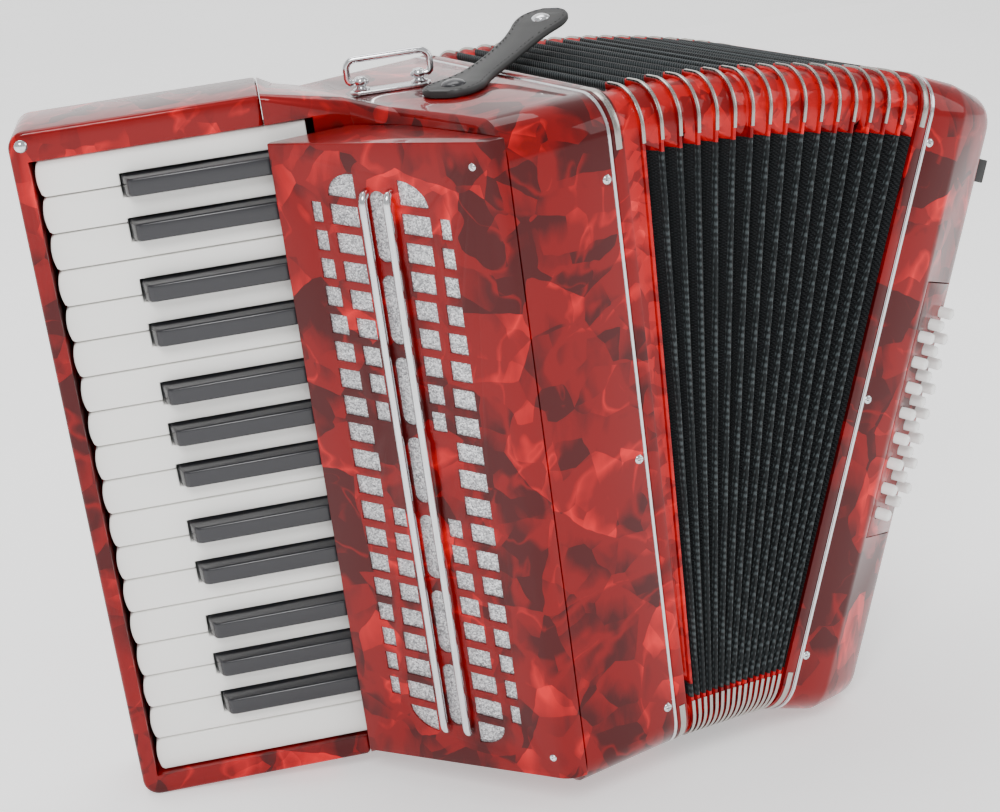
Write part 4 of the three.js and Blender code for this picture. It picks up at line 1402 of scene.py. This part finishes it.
    def web(self, low: float, high: float, number: int) -> Object:
        """The folded cloth between two fold numbers, as a thin closed strip with its valley."""
        piece = Piece(f"fold_web_{number}")
        points: list[tuple[float, float]] = []
        valley = math.floor(low + 1e-6) + 0.5
        stops = sorted({low, high, *(v for v in (valley,) if low < v < high)})
        for fold in stops:
            away = abs(fold - valley) * 2
            points.append((fold, 2.0 + (self.depth - 2.0) * (1 - min(away, 1.0))))
        front = self.panel if low > 0.5 else self.first_panel
        outer = [self.gusseted(self.axes(fold), inset, 0.0, front) for fold, inset in points]
        inner = [self.ring(fold, self.depth + 2.0, 0.0) for fold, _ in points]
        inner = [self.spread(ring) for ring in inner]
        finishes = self.gusset_finishes(Finish.FOLD)
        piece.loft(outer + inner[::-1], Finish.FOLD, closed=True, paint=lambda i: finishes[i])
        return piece.object(60.0)

    def spread(self, ring: Ring) -> Ring:
        """Four more points on each straight side of a plain section, to match a gusseted one."""
        n = self.corner_steps + 1
        out: Ring = []
        for side in range(4):
            corner = ring[side * n:(side + 1) * n]
            after = ring[(side + 1) * n % len(ring)]
            out += corner
            out += [corner[-1].lerp(after, t) for t in (0.06, 0.12, 0.88, 0.94)]
        return out

    def joined(self, name: str, members: Sequence[Object]) -> Object:
        """One object out of several."""
        mesh = bmesh.new()
        materials: list[Material] = []
        for member in members:
            offset = len(mesh.faces)
            table = []
            for material in member.data.materials:
                if material not in materials:
                    materials.append(material)
                table.append(materials.index(material))
            mesh.from_mesh(member.data)
            mesh.faces.ensure_lookup_table()
            for face in mesh.faces[offset:]:
                face.material_index = table[face.material_index]
        data = bpy.data.meshes.new(name)
        mesh.to_mesh(data)
        mesh.free()
        for material in materials:
            data.materials.append(material)
        for member in members:
            bpy.data.objects.remove(member)
        made = bpy.data.objects.new(name, data)
        bpy.context.scene.collection.objects.link(made)
        return made

    def build(self) -> None:
        """Make the frames, ridges, caps and cloth."""
        hand_over(self.end_frame(TREBLE, "treble_end_frame"), "treble", "red_celluloid",
                  "treble_bellows_frame")
        hand_over(self.end_frame(BASS, "bass_end_frame"), "bass", "red_celluloid", "bass_bellows_frame")
        reach = S.gap + S.frame_thick / 2
        caps = self.joined("treble_corner_caps", self.bright_corner(0, reach - self.start, 3.4))
        hand_over(caps, "treble", "chrome")
        caps = self.joined("bass_corner_caps", self.bright_corner(self.folds, reach, 3.4))
        hand_over(caps, "bass", "chrome")
        first_of = {0: "bellows_section_1", 4: "bellows_section_2", 8: "bellows_section_3",
                    12: "bellows_section_4"}
        for number in range(1, self.folds):
            ridge = self.joined(f"fold_{number}",
                                [self.ridge(number), *self.bright_corner(number, 0.0, 1.9)])
            node = first_of.get(number - 1)
            self.rides(ridge, number, "bellows_cloth", *([node] if node else []))
        cuts = sorted({*range(self.folds + 1),
                       *(k * self.folds / self.joints for k in range(1, self.joints))})
        for number, (low, high) in enumerate(zip(cuts, cuts[1:])):
            web = self.web(low, high, number)
            self.bend(web, low, high)

    def bend(self, web: Object, low: float, high: float) -> None:
        """Bake a web in place; it does not turn between the two bodies that its folds lie between."""
        p0, p1 = (self.axes(f).at(0, S.depth / 2, self.bend_height * S.height) for f in (low, high))
        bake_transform(web)


# --------------------------------------------------------------------------- bass side
_BEVEL = math.radians(28)
BEVEL = BASS.local((33.0, 0.0, 0.0), (math.cos(_BEVEL), math.sin(_BEVEL), 0.0), (0.0, 0.0, 1.0))


@dataclass
class BassShell:
    """The bass casing with its button plate, buttons, hand strap and air button."""

    band: float = 33.0
    bevel: float = 46.0
    rows: int = 8
    columns: int = 3
    row_pitch: float = 14.4
    column_pitch: float = 12.5
    stagger: float = 7.0
    first_along: float = 13.5
    radius: float = 3.2
    rise: float = 7.5
    first_share: float = 0.333
    air_share: float = 0.8

    @property
    def width(self) -> float:
        """Width of the bass body."""
        return self.band + self.bevel * math.cos(_BEVEL)

    @property
    def air_axes(self) -> Axes:
        """Axes of the air button, which faces out."""
        return station_axes(BASS, self.width, self.air_share * S.depth, self.air_share * S.height,
                            (1, 0, 0))

    @property
    def bevel_depth(self) -> float:
        """How far back the bevel reaches."""
        return self.bevel * math.sin(_BEVEL)

    @property
    def first_z(self) -> float:
        """Height of the lowest button."""
        return self.first_share * S.height

    @property
    def plate(self) -> tuple[float, float, float, float]:
        """Left, right, lower and upper edges of the opening for the button plate."""
        low = self.first_z - 14
        return 5.0, self.bevel - 3, low, low + self.rows * self.row_pitch + 30

    def casing(self) -> Object:
        """The shell, with its bevelled front and the opening for the buttons."""
        d, h, w = S.depth, S.height, self.width
        stations = [
            (S.frame_end, 0.0, d, 0.0, S.corner),
            (self.band - 1.6, 0.0, d, 0.0, S.corner),
            (self.band + 0.8, 0.35, d - 0.3, 0.0, S.corner),
            (w - 8, self.bevel_depth - 8 * math.tan(_BEVEL), d - 5, 2.0, 18.0),
            (w - 3.4, self.bevel_depth - 3.4 * math.tan(_BEVEL), d - 7.7, 3.6, 16.4),
            (w - 1.0, self.bevel_depth + 0.4, d - 10.8, 5.8, 15.0),
            (w, self.bevel_depth + 2.0, d - 14, 8.0, 14.0)]
        piece = Piece("bass_shell")
        rings = []
        for x, y0, y1, inset, radius in stations:
            outline = rounded(y0, y1, inset, h - inset, radius, 12)
            rings.append([BASS.at(x, y, z) for y, z in outline])
        piece.loft(rings, Finish.RED)
        left, right, low, high = self.plate
        window = Piece("opening").box((left, low, -14), (right, high, 4), BEVEL, Finish.SHADOW).object()
        room = Piece("room").box((4, 70, 40), (w - 7, S.depth - 30, S.height - 40), BASS,
                                 Finish.SHADOW).object()
        bore = Piece("bore").lathe([(0, -20), (3.3, -20), (3.3, 20), (0, 20)], self.air_axes,
                                   Finish.SHADOW).object()
        return soften(cut_away(piece.object(), window, room, bore), 0.8, 3, 60.0)

    def places(self) -> list[list[Point]]:
        """Where the buttons of each row are, along the bevel and up it."""
        return [[(self.first_along + c * self.column_pitch,
                  self.first_z + r * self.row_pitch + c * self.stagger)
                 for c in range(self.columns)] for r in range(self.rows)]

    def button_plate(self) -> Object:
        """The plate that the buttons come through."""
        left, right, low, high = self.plate
        piece = Piece("button_plate").box((left + S.gap, low + S.gap, -3), (right - S.gap, high - S.gap, 0),
                                          BEVEL, Finish.RED)
        plate = soften(piece.object(), 0.5, 2)
        tools = []
        for across, z in (p for row in self.places() for p in row):
            outline = [(across + 3.75 * math.cos(a), z + 3.75 * math.sin(a))
                       for a in (2 * math.pi * i / 20 for i in range(20))]
            tools.append(Piece("hole").prism(outline, -6, 4, BEVEL, Finish.SHADOW).object())
        return cut_away(plate, *tools)

    def row(self, number: int, places: Sequence[Point]) -> Object:
        """Three domed buttons joined by their bar below the plate."""
        piece = Piece(f"button_row_{number}")
        r, h = self.radius, self.rise
        for across, z in places:
            axes = Axes(BEVEL.at(across, z, 0), BEVEL.x, BEVEL.y, BEVEL.z)
            profile = [(0, -9), (r, -9), (r, h - 1.5), (r - 0.18, h - 0.8), (r - 0.6, h - 0.25),
                       (r - 1.2, h - 0.02), (0.8, h - 0.12), (0, h - 0.16)]
            piece.lathe(profile, axes, Finish.BUTTON, 28)
        first, last = places[0], places[-1]
        slope = (last[1] - first[1]) / (last[0] - first[0])
        outline = [(first[0] - 3, first[1] - 3 * slope - 2.2), (last[0] + 3, last[1] + 3 * slope - 2.2),
                   (last[0] + 3, last[1] + 3 * slope + 2.2), (first[0] - 3, first[1] - 3 * slope + 2.2)]
        piece.prism(outline, -12, -8.5, BEVEL, Finish.BUTTON)
        return piece.object(40.0)

    def strap(self) -> tuple[Object, Fittings]:
        """The leather hand strap on the flat side, with its stitched edges and upper tab."""
        low, high = 0.1 * S.height, 0.9 * S.height
        front, back = 0.24 * S.depth, 0.56 * S.depth
        piece = Piece("hand_strap")
        rings = []
        stitches = Fittings("hand_strap_stitches", "bass", "black_leather")
        steps = 48
        for i in range(steps + 1):
            t = i / steps
            bow = 14 * math.sin(math.pi * t) ** 0.8
            z = low + (high - low) * t
            x = self.width + S.gap + bow
            section = [(x, front + 1.0), (x + 0.4, front), (x + 2.2, front), (x + 3.0, front + 1.2),
                       (x + 3.0, back - 1.2), (x + 2.2, back), (x + 0.4, back), (x, back - 1.0)]
            rings.append([BASS.at(a, y, z) for a, y in section])
            if 2 < i < steps - 2:
                for y in (front + 4.0, back - 4.0):
                    stitches.add(station_axes(BASS, x + 3.0, y, z, (1, 0, 0)), BASS.z)
        piece.loft(rings, Finish.LEATHER)
        tab_y0, tab_y1 = self.bevel_depth + 3, front + 12
        piece.box((self.width + S.gap, tab_y0, high - 13), (self.width + 8, tab_y1, high), BASS,
                  Finish.LEATHER)
        return soften(piece.object(), 0.6, 2, 60.0), stitches

    def air_button(self) -> Object:
        """The round metal air button on its stem."""
        profile = [(0, -12), (3.0, -12), (3.0, 3.3), (5.6, 3.3), (6.0, 3.7), (6.0, 7.4), (5.7, 8.4),
                   (5.0, 9.2), (3.0, 9.5), (0, 9.3)]
        return Piece("air_button_cap").lathe(profile, self.air_axes, Finish.CHROME).object()

    def build(self) -> None:
        """Make every piece of the bass side."""
        hand_over(self.casing(), "bass", "red_celluloid", "bass_casing")
        profile = ((-0.05, 0.1), (0.0, 0.5), (0.35, 0.6), (0.35, 2.2), (-0.05, 2.4), (-1.4, 1.2))
        hand_over(edging("bass_edging", BASS, S.frame_end, profile), "bass", "chrome")
        hand_over(self.button_plate(), "bass", "red_celluloid", "bass_button_plate")
        for number, places in enumerate(self.places(), 1):
            hand_over(self.row(number, places), f"bass_row_{number}", "button_white",
                      f"bass_button_row_{number}")
        strap, stitches = self.strap()
        hand_over(strap, "bass", "black_leather", "bass_strap")
        stitches.stitches(3.2, 0.8)
        hand_over(self.air_button(), "air", "chrome", "air_button")
        screws = Fittings("bass_screws", "bass", "chrome")
        for z in (37.0, 182.0, 323.0):
            screws.add(station_axes(BASS, 12.0, 0.05, z, (0, -1, 0)))
            screws.add(station_axes(BASS, 12.0, S.depth - 0.05, z, (0, 1, 0)))
        screws.screws(2.5)


# --------------------------------------------------------------------------- straps on top
@dataclass
class TopFittings:
    """The leather strap that holds the bellows shut, and the bracket for a carrying strap."""

    stud_x: float = -36.0
    stud_share: float = 0.41
    heading: float = math.radians(30)
    bracket_x: float = -51.5
    bracket_share: float = 0.6
    bracket_heading: float = math.radians(-24)
    spread: float = 15.0
    axis_rise: float = 6.0

    @property
    def strap_axes(self) -> Axes:
        """Axes of the strap: along it, across it and up."""
        c, s = math.cos(self.heading), math.sin(self.heading)
        return TREBLE.local((self.stud_x, self.stud_share * S.depth, S.height), (c, s, 0), (-s, c, 0))

    @property
    def bracket_axes(self) -> Axes:
        """Axes of the bracket: along its pivot, across it and up."""
        c, s = math.cos(self.bracket_heading), math.sin(self.bracket_heading)
        return TREBLE.local((self.bracket_x, self.bracket_share * S.depth, S.height + S.gap), (c, s, 0),
                            (-s, c, 0))

    def stations(self) -> list[tuple[float, ...]]:
        """Distance along, lift and half width of the strap, run finely."""
        coarse = [(-15, 0.6, 5), (-12.5, 0.6, 10.5), (-6, 0.6, 14.5), (4, 0.6, 15), (14, 0.7, 12.5),
                  (26, 1.4, 10.2),
                  (46, 3.8, 9.6), (68, 7.6, 10.2), (83, 10.6, 12.5), (93, 12.6, 15), (101, 14.2, 14.5),
                  (107, 15.4, 10.5), (110, 16, 5)]
        return smooth_track(coarse, 5)

    def strap(self) -> tuple[Object, Fittings]:
        """The strap itself and its line of stitches."""
        axes, thick = self.strap_axes, 3.4
        piece = Piece("closing_strap")
        rings = []
        stitches = Fittings("closing_strap_stitches", "bellows_strap", "black_leather")
        stations = self.stations()
        for along, lift, half in stations:
            section = [(-half + 0.6, 0), (half - 0.6, 0), (half, 0.8), (half, thick - 0.9),
                       (half - 0.9, thick), (-half + 0.9, thick), (-half, thick - 0.9), (-half, 0.8)]
            rings.append([axes.at(along, side, lift + rise) for side, rise in section])
        piece.loft(rings, Finish.LEATHER)
        walked = 0.0
        for (a0, l0, h0), (a1, l1, h1) in zip(stations, stations[1:]):
            walked += math.hypot(a1 - a0, h1 - h0)
            if walked < 3.4:
                continue
            walked = 0.0
            for side in (-1, 1):
                run = axes.towards(a1 - a0, side * (h1 - h0), l1 - l0).normalized()
                spot = station_axes(axes, a1, side * (h1 - 2.4), l1 + thick, (0, 0, 1), (0, 1, 0))
                stitches.add(spot, run)
        return piece.object(50.0), stitches

    def snap(self, along: float, lift: float, radius: float, finish: Finish, name: str) -> Object:
        """A domed stud or snap on top of the strap."""
        axes = station_axes(self.strap_axes, along, 0, lift, (0, 0, 1), (0, 1, 0))
        r = radius
        profile = [(0, -1.4), (r, -1.4), (r, 0.3), (0.96 * r, 0.7), (0.78 * r, 1.5), (0.5 * r, 2.15),
                   (0.22 * r, 2.5), (0, 2.6)]
        return Piece(name).lathe(profile, axes, finish).object()

    def bracket(self) -> Object:
        """A rounded base with two posts and ball nuts."""
        axes = self.bracket_axes
        piece = Piece("strap_bracket_body")
        half = self.spread + 6
        piece.prism(rounded(-half, half, -5, 5, 4.8, 8), 0, 1.8, axes, Finish.CHROME)
        base = soften(piece.object(), 0.5, 2)
        posts = []
        for side in (-1, 1):
            at = station_axes(axes, side * self.spread, 0, 0, (0, 0, 1), (0, 1, 0))
            profile = [(0, 1.2), (4.4, 1.2), (4.4, 2.6), (3.0, 3.1), (2.5, 3.8), (3.1, 4.6), (3.55, 5.6),
                       (3.6, 6.6), (3.2, 7.8), (2.2, 8.7), (0, 9.0)]
            posts.append(Piece("post").lathe(profile, at, Finish.CHROME).object())
        for side in (-1, 1):
            bore = station_axes(axes, side * self.spread, 0, self.axis_rise, (1, 0, 0))
            tool = Piece("bore").lathe([(0, -6), (2.1, -6), (2.1, 6), (0, 6)], bore, Finish.CHROME,
                                       20).object()
            cut_away(posts[0 if side < 0 else 1], tool)
        return Bellows().joined("strap_bracket_body", [base, *posts])

    def bail(self) -> Object:
        """The wire loop that swings between the posts."""
        axes = self.bracket_axes
        half, rise, corner = self.spread + 6.5, 12.0, 5.0
        turns: list[tuple[float, float]] = [(self.spread - 2.5, 0.0), (half - 2.5, 0.0)]
        turns += [(half - 2.5 + 2.5 * math.sin(a), 2.5 - 2.5 * math.cos(a))
                  for a in (math.radians(x) for x in (30, 60, 90))]
        turns += [(half - corner + corner * math.cos(a), rise - corner + corner * math.sin(a))
                  for a in (math.radians(x) for x in range(0, 91, 15))]
        path = turns + [(-x, z) for x, z in reversed(turns)]
        points = [axes.at(x, 0, self.axis_rise + z) for x, z in path]
        return Piece("bail_wire").tube(points, 1.8, Finish.CHROME, 16).object()

    def build(self) -> None:
        """Make every piece on top."""
        strap, stitches = self.strap()
        hand_over(strap, "bellows_strap", "black_leather", "bellows_strap")
        stitches.stitches(2.6, 0.55)
        hand_over(self.snap(0.0, 4.0, 6.4, Finish.BLACK, "strap_stud"), "bellows_strap", "black_leather")
        hand_over(self.snap(97.0, 16.6, 5.2, Finish.CHROME, "strap_snap"), "bellows_strap", "chrome")
        hand_over(self.bracket(), "treble", "chrome", "strap_bracket")
        hand_over(self.bail(), "bail", "chrome", "strap_bail")


# --------------------------------------------------------------------------- studio
@dataclass
class Studio:
    """A pale floor, soft lights and the camera."""

    lens: float = 71.87
    shift: tuple[float, float] = (-0.0142, -0.070)

    def floor(self) -> None:
        """A floor that sweeps up behind."""
        piece = Piece("floor")
        reach, back = 6.0, 3.2
        rings = []
        profile = [(-reach, 0.0), (back - 1.2, 0.0)]
        profile += [(back - 1.2 + 1.2 * math.sin(a), 1.2 - 1.2 * math.cos(a))
                    for a in (math.radians(9 * i) for i in range(1, 11))]
        profile.append((back, 5.0))
        for x in (-reach, reach):
            rings.append([Vector((x, y, z)) for y, z in profile])
        for a0, b0, a1, b1 in zip(rings[0], rings[1], rings[0][1:], rings[1][1:]):
            face = piece.mesh.faces.new([piece.mesh.verts.new(p) for p in (a0, b0, b1, a1)])
            face.material_index = piece.finish_index(Finish.FLOOR)
            face.smooth = True
        piece.object()

    def light(self, name: str, place: Sequence[float], power: float, size: Sequence[float]) -> None:
        """A soft rectangular light that faces the instrument."""
        data = bpy.data.lights.new(name, "AREA")
        data.shape = "RECTANGLE"
        data.size, data.size_y = size
        data.energy = power
        made = bpy.data.objects.new(name, data)
        bpy.context.scene.collection.objects.link(made)
        made.location = place
        made.rotation_euler = (Vector((0, 0, 0.2)) - Vector(place)).to_track_quat("-Z", "Y").to_euler()

    def camera(self) -> None:
        """The camera, placed from the treble body's own axes."""
        data = bpy.data.cameras.new("camera")
        data.lens = self.lens
        data.sensor_width = 36.0
        data.shift_x, data.shift_y = self.shift
        data.clip_end = 50.0
        made = bpy.data.objects.new("camera", data)
        bpy.context.scene.collection.objects.link(made)
        right = TREBLE.towards(0.84788, -0.51504, -0.12583).normalized()
        up = TREBLE.towards(0.27015, 0.21547, 0.93840).normalized()
        out = right.cross(up)
        rotation = Matrix((right, up, out)).transposed().to_4x4()
        rotation.translation = TREBLE.at(-499.8, -787.2, 560.3)
        made.matrix_world = rotation
        bpy.context.scene.camera = made

    def build(self) -> None:
        """Set up the studio."""
        self.floor()
        self.light("key_light", (-1.3, -1.7, 1.9), 44.0, (0.9, 0.9))
        self.light("fill_light", (1.9, -1.3, 1.2), 11.0, (1.2, 1.2))
        self.light("top_light", (0.0, 0.6, 2.4), 28.0, (1.8, 1.2))
        self.camera()
        world = bpy.data.worlds.new("studio_air")
        bpy.context.scene.world = world
        world.use_nodes = True
        world.node_tree.nodes["Background"].inputs[0].default_value = (1.0, 1.0, 1.0, 1.0)
        world.node_tree.nodes["Background"].inputs[1].default_value = 0.7


def dress_cad() -> None:
    """Give the CAD nodes that stay in view their finishes."""
    shown = {"treble_reed_block": Finish.WOOD, "bass_reed_block": Finish.WOOD, "key_axle": Finish.CHROME,
             "bellows_section_1": Finish.FOLD, "bellows_section_2": Finish.FOLD,
             "bellows_section_3": Finish.FOLD, "bellows_section_4": Finish.FOLD}
    for name, finish in shown.items():
        materials = frame["nodes"][name].data.materials
        materials.clear()
        materials.append(finish.material())


def main() -> None:
    """Build the instrument piece by piece."""
    dress_cad()
    for part in (TrebleShell(), Keyboard(), Grille(), Bellows(), BassShell(), TopFittings(), Studio()):
        LOG.info("building %s", type(part).__name__)
        part.build()


if __name__ == "__main__":
    main()
